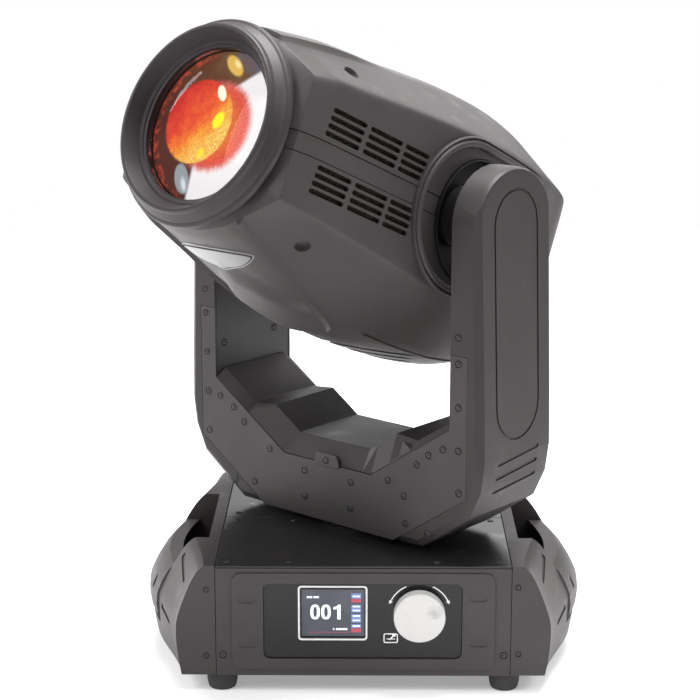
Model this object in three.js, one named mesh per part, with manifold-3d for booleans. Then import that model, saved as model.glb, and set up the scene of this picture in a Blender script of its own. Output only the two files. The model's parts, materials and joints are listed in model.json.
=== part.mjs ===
// Moving head stage light: weighted base, panning yoke, tilting head.
// Millimetres, +Z up, +Y to the rear. The pan axis is x = y = 0 and the underside
// plate of the base is z = 0. The yoke and the head are drawn in their own frames
// and placed at the rest pose.
import * as THREE from 'three';
import { mergeVertices } from 'three/addons/utils/BufferGeometryUtils.js';
import Module from 'manifold-3d';

const wasm = await Module();
wasm.setup();

// ---------------------------------------------------------------- dimensions
const GAP = 0.3;
const PAN_REST = THREE.MathUtils.degToRad(-40.5);
const TILT_REST = THREE.MathUtils.degToRad(24.5);
const TILT_AXIS_Z = 432;

// base body
const BASE_X = 140.5;
const BASE_Y = 150;
const BASE_H = 111;
const SHEET = 2.5;
const TOP_SEAM_Y = -7;
const PAN_HOLE_R = 44;
const PANEL_RAISE = 1.5;
const CLAMP_PLATE = { x: 100, y: 58, thick: 4, hole: 8, holeX: 78, holeY: 40 };
const FOOT_H = 18;
const FOOT_X = 136;
const FOOT_Y = 132;

// front control panel
const FASCIA = { x0: -95, x1: 94, z0: 17.5, z1: 93.5 };
const LCD_FRAME = { x0: -62, x1: 4, z0: 36, z1: 91 };
const LCD_WINDOW = { x0: -58.4, x1: 1.2, z0: 39.8, z1: 87.2 };
const KNOB = { x: 53.2, z: 63, r: 24.5, depth: 12, shaft: 3 };

// side covers and carrying handles
const COVER_PROFILE = [
  [173.7, 0.5], [176.3, 15], [178.3, 34], [178.5, 47], [177, 58.5],
  [171.2, 76], [164.2, 93], [157.3, 105], [151, 110.7],
];
const COVER_BULGE = 38;
const COVER_WALL = 3;
const RECESS = { x0: 152, y: 69, floor: 45, low: 22, ledge: 186 };
const HANDLE = { y: 68.6, z0: 22.6, z1: 83, thick: 17, proud: 2.5 };

// yoke
const YOKE_V = 56.4;
const YOKE_PLATE = 2.5;
const YOKE_BOTTOM = 118.6;
const ARM_IN = 152.8;
const ARM_OUT = 184;
const ARM_BULGE = 191;
const ARM_LEAN = (ARM_BULGE - 1 - ARM_OUT) / (TILT_AXIS_Z - 260);
const ARM_SEAM = 173.4;
const ARM_SEAM_TOP = 314.6;
const ARM_TOP_R = 53;
const CHAMFER_V = 5;
const CHAMFER_U = 7;
const COLUMN_R = 30;
const HUB_R = 24;

// head
const STRIP_Q = [-11, 6];
const SHELL = 3;
const ARCH_R = 75;
const PIVOT_R = 60;
const PIVOT_DEPTH = 12;
const LENS_R = 69.5;
const LIP_R = 83;
const LIP_L = 262;
const FRONT_L = 237;
const REAR_L = -196;
// station: distance along the beam, half width, side crease, crown, belly
const HEAD = [
  [FRONT_L, 105, 58, 92, 91],
  [200, 108, 60, 99, 101],
  [160, 112, 63, 107, 112],
  [120, 116, 67, 114, 124],
  [60, 122, 72, 123, 135],
  [0, 125, 76, 131, 139],
  [-60, 124, 78, 135, 138],
  [-110, 119, 77, 133, 134],
  [-150, 112, 75, 127, 125],
  [-180, 104, 70, 116, 110],
  [REAR_L, 84, 56, 93, 88],
];

// ---------------------------------------------------------------- materials
const PALETTE = {
  shell: ['#4b4544', 0.62, 0.0],
  black: ['#141315', 0.5, 0.0],
  steel: ['#8d9093', 0.42, 0.85],
  dark_steel: ['#3a3a3d', 0.5, 0.7],
  rubber: ['#1b1a1a', 0.92, 0.0],
  gloss: ['#0d0d11', 0.12, 0.0],
  screen: ['#20242d', 0.2, 0.0],
  white: ['#eef0ee', 0.45, 0.0],
  knob: ['#d5d3d0', 0.38, 0.2],
  glass: ['#8e4a2a', 0.05, 0.0],
  board: ['#1f5a38', 0.6, 0.0],
  brass: ['#b79a55', 0.35, 0.9],
  chrome: ['#c9cbcd', 0.2, 0.95],
  belt: ['#18181a', 0.85, 0.0],
};

function node(name, look, geometry) {
  const [color, roughness, metalness] = PALETTE[look];
  const material = new THREE.MeshStandardMaterial({ color, roughness, metalness });
  material.name = look;
  const mesh = new THREE.Mesh(clean(geometry), material);
  mesh.name = name;
  return mesh;
}

// ---------------------------------------------------------------- geometry kit
// welds the vertices and turns the faces outwards
function clean(geometry) {
  const out = geometry.clone();
  for (const key of Object.keys(out.attributes)) {
    if (key !== 'position') out.deleteAttribute(key);
  }
  const merged = geometry.userData.welded ? out : mergeVertices(out, 1e-4);
  const p = merged.attributes.position;
  const index = [];
  const src = merged.index.array;
  let volume = 0;
  const a = new THREE.Vector3();
  const b = new THREE.Vector3();
  const c = new THREE.Vector3();
  for (let i = 0; i < src.length; i += 3) {
    const [u, v, w] = [src[i], src[i + 1], src[i + 2]];
    if (u === v || v === w || u === w) continue;
    index.push(u, v, w);
    a.fromBufferAttribute(p, u);
    b.fromBufferAttribute(p, v);
    c.fromBufferAttribute(p, w);
    volume += a.dot(b.cross(c));
  }
  if (volume < 0) {
    for (let i = 0; i < index.length; i += 3) {
      [index[i], index[i + 1]] = [index[i + 1], index[i]];
    }
  }
  merged.setIndex(index);
  merged.userData = { welded: true };
  return merged;
}

function solid(geometry) {
  const g = clean(geometry);
  const vertProperties = new Float32Array(g.attributes.position.array);
  const triVerts = new Uint32Array(g.index.array);
  return new wasm.Manifold(new wasm.Mesh({ numProp: 3, vertProperties, triVerts }));
}

function surface(manifold) {
  const mesh = manifold.getMesh();
  const g = new THREE.BufferGeometry();
  g.setAttribute('position', new THREE.BufferAttribute(new Float32Array(mesh.vertProperties), 3));
  g.setIndex(new THREE.BufferAttribute(new Uint32Array(mesh.triVerts), 1));
  g.userData.welded = true;
  return g;
}

function cut(base, ...tools) {
  let m = solid(base);
  for (const tool of tools) m = m.subtract(solid(tool));
  return surface(m);
}

function join(...pieces) {
  let m = solid(pieces[0]);
  for (const piece of pieces.slice(1)) m = m.add(solid(piece));
  return surface(m);
}

function common(...pieces) {
  let m = solid(pieces[0]);
  for (const piece of pieces.slice(1)) m = m.intersect(solid(piece));
  return surface(m);
}

function box(x0, x1, y0, y1, z0, z1) {
  const g = new THREE.BoxGeometry(x1 - x0, y1 - y0, z1 - z0);
  return g.translate((x0 + x1) / 2, (y0 + y1) / 2, (z0 + z1) / 2);
}

function polygon(points) {
  return new THREE.Shape(points.map(([x, y]) => new THREE.Vector2(x, y)));
}

function arc(cx, cy, r, from, to, steps) {
  const points = [];
  for (let i = 0; i <= steps; i += 1) {
    const angle = from + ((to - from) * i) / steps;
    points.push([cx + r * Math.cos(angle), cy + r * Math.sin(angle)]);
  }
  return points;
}

function roundRect(x0, x1, y0, y1, r, steps = 3) {
  const q = Math.PI / 2;
  const corners = [[x1 - r, y0 + r, -q], [x1 - r, y1 - r, 0], [x0 + r, y1 - r, q], [x0 + r, y0 + r, 2 * q]];
  return polygon(corners.flatMap(([cx, cy, a]) => arc(cx, cy, r, a, a + q, steps)));
}

function circle(x, y, r, steps = 16) {
  return polygon(arc(x, y, r, 0, 2 * Math.PI * (1 - 1 / steps), steps - 1));
}

function withHoles(shape, ...holes) {
  shape.holes.push(...holes);
  return shape;
}

function extrudeZ(shape, z0, z1) {
  const options = { depth: z1 - z0, bevelEnabled: false };
  return new THREE.ExtrudeGeometry(shape, options).translate(0, 0, z0);
}

// shape drawn in (x, z), depth along y
function extrudeY(shape, y0, y1) {
  return extrudeZ(shape, 0, y1 - y0).rotateX(Math.PI / 2).translate(0, y1, 0);
}

const TO_X = new THREE.Matrix4().makeBasis(
  new THREE.Vector3(0, 1, 0), new THREE.Vector3(0, 0, 1), new THREE.Vector3(1, 0, 0));

// shape drawn in (y, z), depth along x
function extrudeX(shape, x0, x1) {
  return extrudeZ(shape, 0, x1 - x0).applyMatrix4(TO_X).translate(x0, 0, 0);
}

// profile of [radius, height], turned about the z axis
function lathe(profile, segments = 32) {
  const points = profile.map(([r, z]) => new THREE.Vector2(r, z));
  return new THREE.LatheGeometry(points, segments).rotateX(Math.PI / 2);
}

function closed(profile) {
  return [...profile, profile[0]];
}

// profile of [radius, distance toward -y], turned about the y axis
function latheY(profile, segments = 32) {
  return lathe(profile, segments).rotateX(Math.PI / 2);
}

// profile of [radius, distance toward +x], turned about the x axis
function latheX(profile, segments = 32) {
  return lathe(profile, segments).rotateY(Math.PI / 2);
}


function rod(r, z0, z1, segments = 24) {
  return lathe([[0, z0], [r, z0], [r, z1], [0, z1]], segments);
}

// rings of equal length, joined into one closed skin
function loft(rings) {
  const n = rings[0].length;
  const positions = rings.flat(2);
  const index = [];
  for (let i = 0; i + 1 < rings.length; i += 1) {
    for (let j = 0; j < n; j += 1) {
      const k = (j + 1) % n;
      const [a, b] = [i * n + j, i * n + k];
      const [c, d] = [a + n, b + n];
      index.push(a, b, d, a, d, c);
    }
  }
  for (const [ring, order] of [[0, 1], [rings.length - 1, -1]]) {
    const middle = positions.length / 3;
    const sum = [0, 0, 0];
    for (const point of rings[ring]) {
      for (let axis = 0; axis < 3; axis += 1) sum[axis] += point[axis] / n;
    }
    positions.push(...sum);
    for (let j = 0; j < n; j += 1) {
      const [a, b] = [ring * n + j, ring * n + ((j + 1) % n)];
      index.push(middle, ...(order > 0 ? [b, a] : [a, b]));
    }
  }
  const g = new THREE.BufferGeometry();
  g.setAttribute('position', new THREE.BufferAttribute(new Float32Array(positions), 3));
  g.setIndex(index);
  return g;
}

function mirrorX(geometry) {
  return clean(geometry.clone().scale(-1, 1, 1));
}

// smooth value of a column of a table whose first column falls steadily
function tableAt(table, key, column) {
  let i = 0;
  while (i < table.length - 2 && key < table[i + 1][0]) i += 1;
  const [a, b] = [table[i], table[i + 1]];
  const before = table[Math.max(i - 1, 0)];
  const after = table[Math.min(i + 2, table.length - 1)];
  const t = (key - a[0]) / (b[0] - a[0]);
  const span = b[0] - a[0];
  const m0 = span * (b[column] - before[column]) / (b[0] - before[0]);
  const m1 = span * (after[column] - a[column]) / (after[0] - a[0]);
  const [t2, t3] = [t * t, t * t * t];
  return (2 * t3 - 3 * t2 + 1) * a[column] + (t3 - 2 * t2 + t) * m0
    + (3 * t2 - 2 * t3) * b[column] + (t3 - t2) * m1;
}

// ---------------------------------------------------------------- base
function baseChassis() {
  const x = BASE_X - GAP;
  const top = BASE_H - SHEET - GAP;
  const channel = polygon([
    [-x, 0], [x, 0], [x, top], [x - SHEET, top],
    [x - SHEET, SHEET], [-x + SHEET, SHEET], [-x + SHEET, top], [-x, top],
  ]);
  const body = extrudeY(channel, -BASE_Y + 4, BASE_Y - 4);
  const vent = latheX([[0, -150], [27, -150], [27, 150], [0, 150]], 20).translate(0, -20, 45);
  const { x: px, y: py } = CLAMP_PLATE;
  const seat = box(-px - GAP, px + GAP, -py - GAP, py + GAP, -1, SHEET + 1);
  return cut(body, vent, seat);
}

function basePan(front) {
  const x = BASE_X - GAP;
  const edge = TOP_SEAM_Y + (front ? -GAP / 2 : GAP / 2);
  const far = front ? -BASE_Y : BASE_Y;
  const plate = box(-x, x, Math.min(edge, far), Math.max(edge, far), BASE_H - SHEET, BASE_H);
  return cut(plate, rod(PAN_HOLE_R, 0, BASE_H + 10, 32));
}

function frontPanel() {
  const x = BASE_X - GAP;
  const top = BASE_H - SHEET - GAP;
  const outer = extrudeY(roundRect(-x, x, 0, top, 0.5), -BASE_Y, -BASE_Y + 3.5);
  const raised = extrudeY(roundRect(-124.8, 124.9, 6.8, 103.7, 9), -BASE_Y - PANEL_RAISE, -BASE_Y + 1);
  const window = roundRect(FASCIA.x0, FASCIA.x1, FASCIA.z0, FASCIA.z1, 6);
  const tools = [extrudeY(window, -BASE_Y - 10, -BASE_Y + 10)];
  for (const [cx, cz] of [[-110.6, 77.6], [-110.6, 32.3], [109.8, 79.8], [109.8, 34.1]]) {
    const slot = roundRect(cx - 8.5, cx + 8.5, cz - 4, cz + 4, 4);
    tools.push(extrudeY(slot, -BASE_Y - 5, -BASE_Y - PANEL_RAISE + 0.8));
  }
  return cut(join(outer, raised), ...tools);
}

function displayFascia() {
  const g = GAP;
  const s = roundRect(FASCIA.x0 + g, FASCIA.x1 - g, FASCIA.z0 + g, FASCIA.z1 - g, 5.7);
  const w = LCD_WINDOW;
  const lcd = roundRect(w.x0 - g, w.x1 + g, w.z0 - g, w.z1 + g, 0.5, 1);
  withHoles(s, lcd, circle(KNOB.x, KNOB.z, KNOB.shaft + 1.5));
  return extrudeY(s, -BASE_Y + 0.8, -BASE_Y + 3.8);
}

function displayFrame() {
  const f = LCD_FRAME;
  const w = LCD_WINDOW;
  const s = roundRect(f.x0, f.x1, f.z0, f.z1, 3);
  withHoles(s, roundRect(w.x0, w.x1, w.z0, w.z1, 1.5));
  return extrudeY(s, -BASE_Y - 0.3, -BASE_Y + 0.5);
}

function displayScreen() {
  const w = LCD_WINDOW;
  return box(w.x0, w.x1, -BASE_Y + 1, -BASE_Y + 4.5, w.z0, w.z1);
}

function jogKnob() {
  const { r, depth, shaft } = KNOB;
  const bore = shaft + GAP;
  const turned = latheY([[0, 7], [bore, 7], [bore, 0], [r - 1.5, 0], [r, 1.5],
    [r, depth - 3], [r - 1.2, depth - 1], [r - 3.4, depth], [0, depth]], 28);
  const dimple = new THREE.SphereGeometry(8, 16, 10).translate(13.8, -depth - 5, 7.2);
  return cut(turned, dimple).translate(KNOB.x, -BASE_Y - GAP, KNOB.z);
}

function encoderShaft() {
  const pin = latheY([[0, -9.5], [KNOB.shaft, -9.5], [KNOB.shaft, 6.2], [0, 6.2]], 16);
  return pin.translate(KNOB.x, -BASE_Y, KNOB.z);
}

function encoderBody() {
  const can = box(-8, 8, 10, 17, -8, 8);
  const collar = latheY([[0, -11], [5.5, -11], [5.5, -4.5], [0, -4.5]], 20);
  const bore = latheY([[0, -14], [KNOB.shaft + GAP, -14], [KNOB.shaft + GAP, 0], [0, 0]], 16);
  return cut(join(can, collar), bore).translate(KNOB.x, -BASE_Y, KNOB.z);
}

function controlBoard() {
  const y = -BASE_Y + 16.5;
  const plate = box(-90, 88, y, y + 1.6, 22, 90);
  const chip = box(-40, -10, y + 1.5, y + 6, 40, 70);
  const plug = box(20, 40, y + 1.5, y + 11, 30, 42);
  return join(plate, chip, plug, encoderBody());
}

const REAR_SOCKETS = {
  power_inlet: [-104, 74], dmx_input: [64, 54], dmx_output: [104, 54],
};
const FUSE = { x: -62, z: 74, r: 6.5 };
const ROCKER = { x: -62, z: 34, w: 19, h: 13 };

function connectorPanel() {
  const x = BASE_X - GAP;
  const top = BASE_H - SHEET - GAP;
  const s = roundRect(-x, x, 0, top, 0.5);
  for (const [cx, cz] of Object.values(REAR_SOCKETS)) s.holes.push(circle(cx, cz, 12));
  s.holes.push(circle(FUSE.x, FUSE.z, FUSE.r + GAP));
  const { w, h } = ROCKER;
  const hole = roundRect(ROCKER.x - w / 2 - 1, ROCKER.x + w / 2 + 1,
    ROCKER.z - h / 2 - 1, ROCKER.z + h / 2 + 1, 1);
  return join(extrudeY(withHoles(s, hole), BASE_Y - 3.5, BASE_Y), rockerFrame());
}

function socket(pins, name) {
  const [cx, cz] = REAR_SOCKETS[name];
  const flange = extrudeY(roundRect(-13, 13, -15.5, 15.5, 2.5), GAP, 2.3);
  const barrel = latheY([[0, -1.5], [11.5, -1.5], [11.5, 20], [0, 20]], 16);
  const bore = latheY([[0, -5], [8.6, -5], [8.6, 14], [0, 14]], 16);
  const parts = [];
  for (let i = 0; i < pins; i += 1) {
    const angle = Math.PI / 2 + (2 * Math.PI * i) / pins;
    const pin = latheY([[0, 2], [1.2, 2], [1.2, 14.5], [0, 14.5]], 6);
    parts.push(pin.translate(4.4 * Math.cos(angle), 0, 4.4 * Math.sin(angle)));
  }
  return join(cut(join(flange, barrel), bore), ...parts).translate(cx, BASE_Y, cz);
}

function fuseHolder() {
  const cap = latheY([[0, -7], [4, -7], [8, -6], [8, -GAP], [FUSE.r, -GAP], [FUSE.r, 22], [0, 22]], 16);
  return cap.translate(FUSE.x, BASE_Y, FUSE.z);
}

function rockerFrame() {
  const { w, h } = ROCKER;
  const rim = roundRect(-w / 2 - 3.5, w / 2 + 3.5, -h / 2 - 3.5, h / 2 + 3.5, 2);
  withHoles(rim, roundRect(-w / 2, w / 2, -h / 2, h / 2, 0.8));
  const sleeve = roundRect(-w / 2 - 1.7, w / 2 + 1.7, -h / 2 - 1.7, h / 2 + 1.7, 1);
  const well = box(-w / 2, w / 2, -9, 5, -h / 2, h / 2);
  const frame = join(extrudeY(rim, -1, 1.8), extrudeY(sleeve, -15, 1));
  return cut(frame, well).translate(ROCKER.x, BASE_Y, ROCKER.z);
}

function rocker() {
  const { w, h } = ROCKER;
  const half = w / 2 - 1.5;
  const side = polygon([
    [-half, -0.5], [0, 0.6], [half, 3.2], [half - 1.2, -2.5], [3, -6], [-3, -6], [-half + 0.4, -3.6],
  ]);
  const body = extrudeZ(side, -h / 2 + 0.6, h / 2 - 0.6);
  return body.translate(ROCKER.x, BASE_Y, ROCKER.z);
}

function foot(x, y) {
  const pad = lathe([
    [0, -FOOT_H], [12, -FOOT_H], [13.2, -FOOT_H + 1.2], [15, -1.2], [15, -GAP], [0, -GAP],
  ], 24);
  return pad.translate(x, y, 0);
}

// flush plate under the base with four quarter-turn sockets for the clamp brackets
function clampPlate() {
  const { x, y, thick, hole, holeX, holeY } = CLAMP_PLATE;
  const s = roundRect(-x, x, -y, y, 1);
  for (const cx of [-holeX, holeX]) {
    for (const cy of [-holeY, holeY]) s.holes.push(circle(cx, cy, hole));
  }
  return extrudeZ(s, 0, thick);
}

function safetyEye() {
  const path = new THREE.CatmullRomCurve3([
    new THREE.Vector3(-11, 0, -GAP), new THREE.Vector3(-11, 0, -6), new THREE.Vector3(-7, 0, -12),
    new THREE.Vector3(0, 0, -14), new THREE.Vector3(7, 0, -12), new THREE.Vector3(11, 0, -6),
    new THREE.Vector3(11, 0, -GAP)]);
  const options = { steps: 10, extrudePath: path, bevelEnabled: false };
  return new THREE.ExtrudeGeometry(circle(0, 0, 2.6, 8), options).translate(0, 118, 0);
}

function bulge(y) {
  return COVER_BULGE * Math.cos((Math.PI * y) / (2 * BASE_Y)) ** 1.5;
}

function coverX(x, y, z) {
  const ease = z < 50 ? 1 : 1 - 0.4 * ((z - 50) / (BASE_H - 50));
  return x + bulge(y) * ease;
}

function coverRing(y, inset, xIn) {
  const ring = [[xIn, y, COVER_PROFILE[0][1] + inset]];
  for (const [x, z] of COVER_PROFILE) {
    const zz = Math.min(Math.max(z, 0.5 + inset), BASE_H - GAP - inset);
    ring.push([coverX(x, y, z) - inset, y, zz]);
  }
  ring.push([xIn, y, BASE_H - GAP - inset]);
  return ring;
}

function coverLoft(inset, xIn, end) {
  const stations = [-1, -0.8, -0.6, -0.3, 0, 0.3, 0.6, 0.8, 1];
  return loft(stations.map((t) => coverRing(t * end, inset, xIn)));
}

// hexagonal vent holes through the floor of the finger recess
function honeycomb() {
  const tools = [];
  const [pitch, r] = [16, 7];
  for (let row = 0; row < 2; row += 1) {
    for (let i = -3; i <= 3 - (row % 2); i += 1) {
      const cy = pitch * (i + (row % 2 ? 0.5 : 0));
      const hex = new THREE.CylinderGeometry(r, r, 12, 6).rotateX(Math.PI / 2);
      tools.push(hex.translate(RECESS.x0 + 9 + row * 14, cy, RECESS.floor));
    }
  }
  return tools;
}

function sideCover() {
  const { x0, y, floor, low, ledge } = RECESS;
  const w = COVER_WALL;
  const shell = coverLoft(0, BASE_X + GAP, BASE_Y);
  const cavity = coverLoft(w, BASE_X - 20, BASE_Y - w);
  const tub = join(box(x0 - w, 300, -y - w, y + w, floor - w, 200),
    box(ledge - w, 300, -y - w, y + w, low - w, floor));
  const recess = join(box(x0, 300, -y, y, floor, 200), box(ledge, 300, -y, y, low, floor + 1));
  return cut(shell, cut(cavity, tub), recess, ...honeycomb());
}

function handle() {
  const { y, z0, z1, thick, proud } = HANDLE;
  const outer = [];
  for (const t of [0, 0.12, 0.3, 0.5, 0.7, 0.88, 1]) {
    const z = z0 + t * (z1 - z0);
    const round = t < 0.1 || t > 0.95 ? -3.5 : t < 0.2 || t > 0.85 ? -0.8 : 0;
    outer.push([z, round + proud]);
  }
  const profileX = (z) => {
    let i = 0;
    while (i < COVER_PROFILE.length - 2 && z > COVER_PROFILE[i + 1][1]) i += 1;
    const [a, b] = [COVER_PROFILE[i], COVER_PROFILE[i + 1]];
    return a[0] + ((z - a[1]) / (b[1] - a[1])) * (b[0] - a[0]);
  };
  const rings = [];
  for (let i = 0; i <= 10; i += 1) {
    const yy = -y + (2 * y * i) / 10;
    const ring = outer.map(([z, out]) => [coverX(profileX(z), yy, z) + out, yy, z]);
    const inner = outer.map(([z]) => [coverX(profileX(z), yy, z) - thick + proud, yy, z]);
    rings.push([...ring, ...inner.reverse()]);
  }
  const bar = loft(rings);
  const tools = [];
  for (const side of [-1, 1]) {
    const oval = roundRect(side * 48 - 3, side * 48 + 3, 50, 66, 3);
    tools.push(extrudeX(oval, 206, 240));
  }
  return cut(bar, ...tools);
}

const PAN_PULLEY = { r: 52, z0: 76, z1: 86 };
const PAN_MOTOR = { x: 84, y: 42, size: 28 };

function pulley(r, bore, z0, z1, teeth) {
  const s = new THREE.Shape();
  for (let i = 0; i < teeth; i += 1) {
    const step = (2 * Math.PI) / teeth;
    for (const [t, d] of [[0, 0], [0.45, 0], [0.55, -1], [0.95, -1]]) {
      const angle = step * (i + t);
      const [px, py] = [(r + d) * Math.cos(angle), (r + d) * Math.sin(angle)];
      if (i === 0 && t === 0) s.moveTo(px, py);
      else s.lineTo(px, py);
    }
  }
  s.closePath();
  return extrudeZ(withHoles(s, circle(0, 0, bore, 24)), z0, z1);
}

// closed belt round a circle at the origin and a smaller one at (dx, dy)
function beltLoop(r1, r2, dx, dy, z0, z1) {
  const outline = (extra) => {
    const [a, b] = [r1 + extra, r2 + extra];
    const heading = Math.atan2(dy, dx);
    const lean = Math.acos((a - b) / Math.hypot(dx, dy));
    return polygon([...arc(0, 0, a, heading + lean, heading - lean + 2 * Math.PI, 24),
      ...arc(dx, dy, b, heading - lean, heading + lean, 10)]);
  };
  return extrudeZ(withHoles(outline(1.8), outline(GAP)), z0, z1);
}

function stepper(size, z0, z1) {
  const can = extrudeZ(roundRect(-size, size, -size, size, 6), z0, z1 - 4);
  const boss = rod(14, z1 - 5, z1 - 2, 24);
  const shaft = rod(3, z1 - 3, z1 + 14, 12);
  return join(can, boss, shaft);
}

function panMotor() {
  return stepper(PAN_MOTOR.size, 26, 72).translate(PAN_MOTOR.x, PAN_MOTOR.y, 0);
}

function panBearing() {
  const plate = extrudeZ(withHoles(roundRect(-62, 62, -62, 62, 8), circle(0, 0, 36)), 104, 108);
  const ring = rod(40, 92, 105, 24);
  return cut(join(plate, ring), rod(COLUMN_R + GAP + 0.2, 80, 120, 24));
}

function powerSupply() {
  const can = box(-132, -40, 30, 130, 6, 52);
  const fins = [];
  for (let i = 0; i < 5; i += 1) fins.push(box(-126 + i * 18, -118 + i * 18, 36, 124, 51, 55));
  return join(can, ...fins);
}

function mainBoard() {
  const plate = box(-110, 60, -112, -30, 12, 13.8);
  const blocks = [box(-90, -60, -90, -55, 13, 24), box(-40, -5, -100, -70, 13, 19),
    box(20, 50, -105, -60, 13, 30)];
  return join(plate, ...blocks);
}

// ---------------------------------------------------------------- yoke
// the outer face of an arm leans in a little towards its top
function armFace(z) {
  return ARM_OUT - ARM_LEAN * (z - TILT_AXIS_Z);
}

function yokeOutline() {
  return polygon([
    [-85.6, YOKE_BOTTOM], [85.6, YOKE_BOTTOM], [118.5, YOKE_BOTTOM + 0.3], [174, 158],
    [ARM_BULGE - 4, 186], [ARM_BULGE, 214], [ARM_BULGE - 1, 260], [armFace(500), 500],
    [-armFace(500), 500], [-ARM_BULGE + 1, 260], [-ARM_BULGE, 214], [-ARM_BULGE + 4, 186],
    [-174, 158], [-118.5, YOKE_BOTTOM + 0.3],
  ]);
}

function yokeBlank(inset) {
  const bevel = { t: CHAMFER_V, s: CHAMFER_U };
  const depth = 2 * (YOKE_V - inset - bevel.t);
  const options = { depth, bevelEnabled: true, bevelThickness: bevel.t, bevelSize: bevel.s,
    bevelOffset: -bevel.s - inset, bevelSegments: 1 };
  const g = new THREE.ExtrudeGeometry(yokeOutline(), options);
  return g.rotateX(Math.PI / 2).translate(0, depth / 2, 0);
}

// arm seen along the tilt axis: straight sides and a round top
function armSide(v, r) {
  const crown = arc(0, 0, 1, 0, Math.PI, 14).map(([c, n]) => [v * c, TILT_AXIS_Z + 2 + (r - 2) * n]);
  return polygon([[-v, YOKE_BOTTOM - 5], [v, YOKE_BOTTOM - 5], ...crown]);
}

function armCover() {
  const rounded = { depth: 60, bevelEnabled: true, bevelThickness: 6, bevelSize: 6,
    bevelOffset: -6, bevelSegments: 2 };
  const side = new THREE.ExtrudeGeometry(armSide(YOKE_V, ARM_TOP_R), rounded);
  const lean = new THREE.Matrix4().makeShear(0, 0, 0, 0, -ARM_LEAN, 0);
  side.applyMatrix4(TO_X).translate(ARM_OUT - 65, 0, -TILT_AXIS_Z).applyMatrix4(lean);
  side.translate(0, 0, TILT_AXIS_Z);
  const low = box(60, 260, -80, 80, 0, 300);
  const upper = common(yokeBlank(0), side);
  const lower = common(yokeBlank(0), low);
  const blank = join(common(upper, box(60, 260, -80, 80, 290, 600)), lower);
  const seam = polygon([
    [60, 60], [60, ARM_SEAM_TOP], [ARM_SEAM, ARM_SEAM_TOP], [ARM_SEAM, 177.7],
    [86.2, YOKE_BOTTOM], [86.2, 60],
  ]);
  const core = cut(yokeBlank(2.8), box(60, 260, -80, 80, 400, 600));
  const crown = common(yokeBlank(2.8), extrudeX(armSide(YOKE_V - 2.8, ARM_TOP_R - 2.8), 60, 260));
  return cut(blank, box(0, ARM_IN + GAP, -80, 80, 300, 600), extrudeY(seam, -80, 80),
    common(join(core, crown), box(60, 260, -80, 80, 0, 600)));
}

// inlaid outline and three short grooves, 1.2 mm deep in the outer face
function armGrooves(cover) {
  const stadium = (r) => polygon([...arc(0, TILT_AXIS_Z, r, 0, Math.PI, 10),
    ...arc(0, 262, r, Math.PI, 2 * Math.PI, 10)]);
  const marks = [extrudeX(withHoles(stadium(34), stadium(31.5)), 150, 260)];
  for (const z of [212, 198, 184]) {
    const groove = roundRect(-30, 34, -2, 2, 1.9);
    marks.push(extrudeX(groove, 150, 260).rotateX(0.1).translate(0, 0, z));
  }
  return cut(cover, ...marks.map((mark) => cut(mark, yokeBlank(1.2))));
}

function yokePlate(front) {
  const g = GAP;
  const s = polygon([
    [-ARM_SEAM + g, ARM_SEAM_TOP - g], [-ARM_SEAM + g, 177.7], [-85.6, YOKE_BOTTOM],
    [85.6, YOKE_BOTTOM], [ARM_SEAM - g, 177.7], [ARM_SEAM - g, ARM_SEAM_TOP - g],
    [ARM_IN, ARM_SEAM_TOP - g], [ARM_IN, 241.6], [57.3, 178.7], [-57.3, 178.7],
    [-ARM_IN, 241.6], [-ARM_IN, ARM_SEAM_TOP - g],
  ]);
  const y0 = front ? -YOKE_V : YOKE_V - YOKE_PLATE;
  return extrudeY(s, y0, y0 + YOKE_PLATE);
}

function yokeFrame() {
  const [u, top, t] = [ARM_IN + GAP, 478, 3];
  const s = polygon([
    [-u - t, top], [-u - t, 168], [-84, 121.4], [84, 121.4], [u + t, 168], [u + t, top],
    [u, top], [u, 169.6], [83.1, 124.4], [-83.1, 124.4], [-u, 169.6], [-u, top],
  ]);
  const blank = extrudeY(s, -53.4, 53.4);
  const shape = extrudeX(armSide(53.4, 49.5), -200, 200);
  const axle = latheX([[0, -200], [HUB_R + 1, -200], [HUB_R + 1, 200], [0, 200]], 20);
  const shaft = latheX([[0, 100], [15, 100], [15, 200], [0, 200]], 16);
  return cut(common(blank, shape), axle.translate(0, 0, TILT_AXIS_Z),
    shaft.translate(0, 0, TILT_MOTOR.z), rod(23, 100, 140, 20));
}

function crossbarCover() {
  const tops = [[152.5, 250], [106, 220.5], [80, 223], [57.3, 208], [46, 200]];
  const stations = [...tops.map(([u, t]) => [-u, t]), ...tops.slice().reverse()];
  const edge = (u) => {
    const over = Math.max(Math.abs(u) - 57.3, 0);
    return 178.7 + (over * (241.6 - 178.7)) / (ARM_IN - 57.3) + 0.5;
  };
  const outer = YOKE_V - GAP;
  return loft(stations.map(([u, t]) => {
    const e = edge(u);
    return [[u, -outer, e], [u, -44, t], [u, 44, t], [u, outer, e],
      [u, outer - 2.9, e], [u, 42.4, t - 2.8], [u, -42.4, t - 2.8], [u, -outer + 2.9, e]];
  }));
}

function panColumn() {
  const gear = pulley(PAN_PULLEY.r, COLUMN_R - 1, PAN_PULLEY.z0, PAN_PULLEY.z1, 20);
  const column = lathe(closed([
    [24, 70], [COLUMN_R, 70], [COLUMN_R, 112], [42, 112], [42, 121.1], [24, 121.1],
  ]), 24);
  return join(column, gear);
}

const TILT_MOTOR = { z: 195, u0: 104, u1: 152, size: 22 };
const TILT_PULLEY = { r: 38, u0: 159, u1: 167 };

function tiltMotor() {
  const motor = stepper(TILT_MOTOR.size, TILT_MOTOR.u0, TILT_MOTOR.u1).rotateY(Math.PI / 2);
  return motor.translate(0, 0, TILT_MOTOR.z);
}

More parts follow.
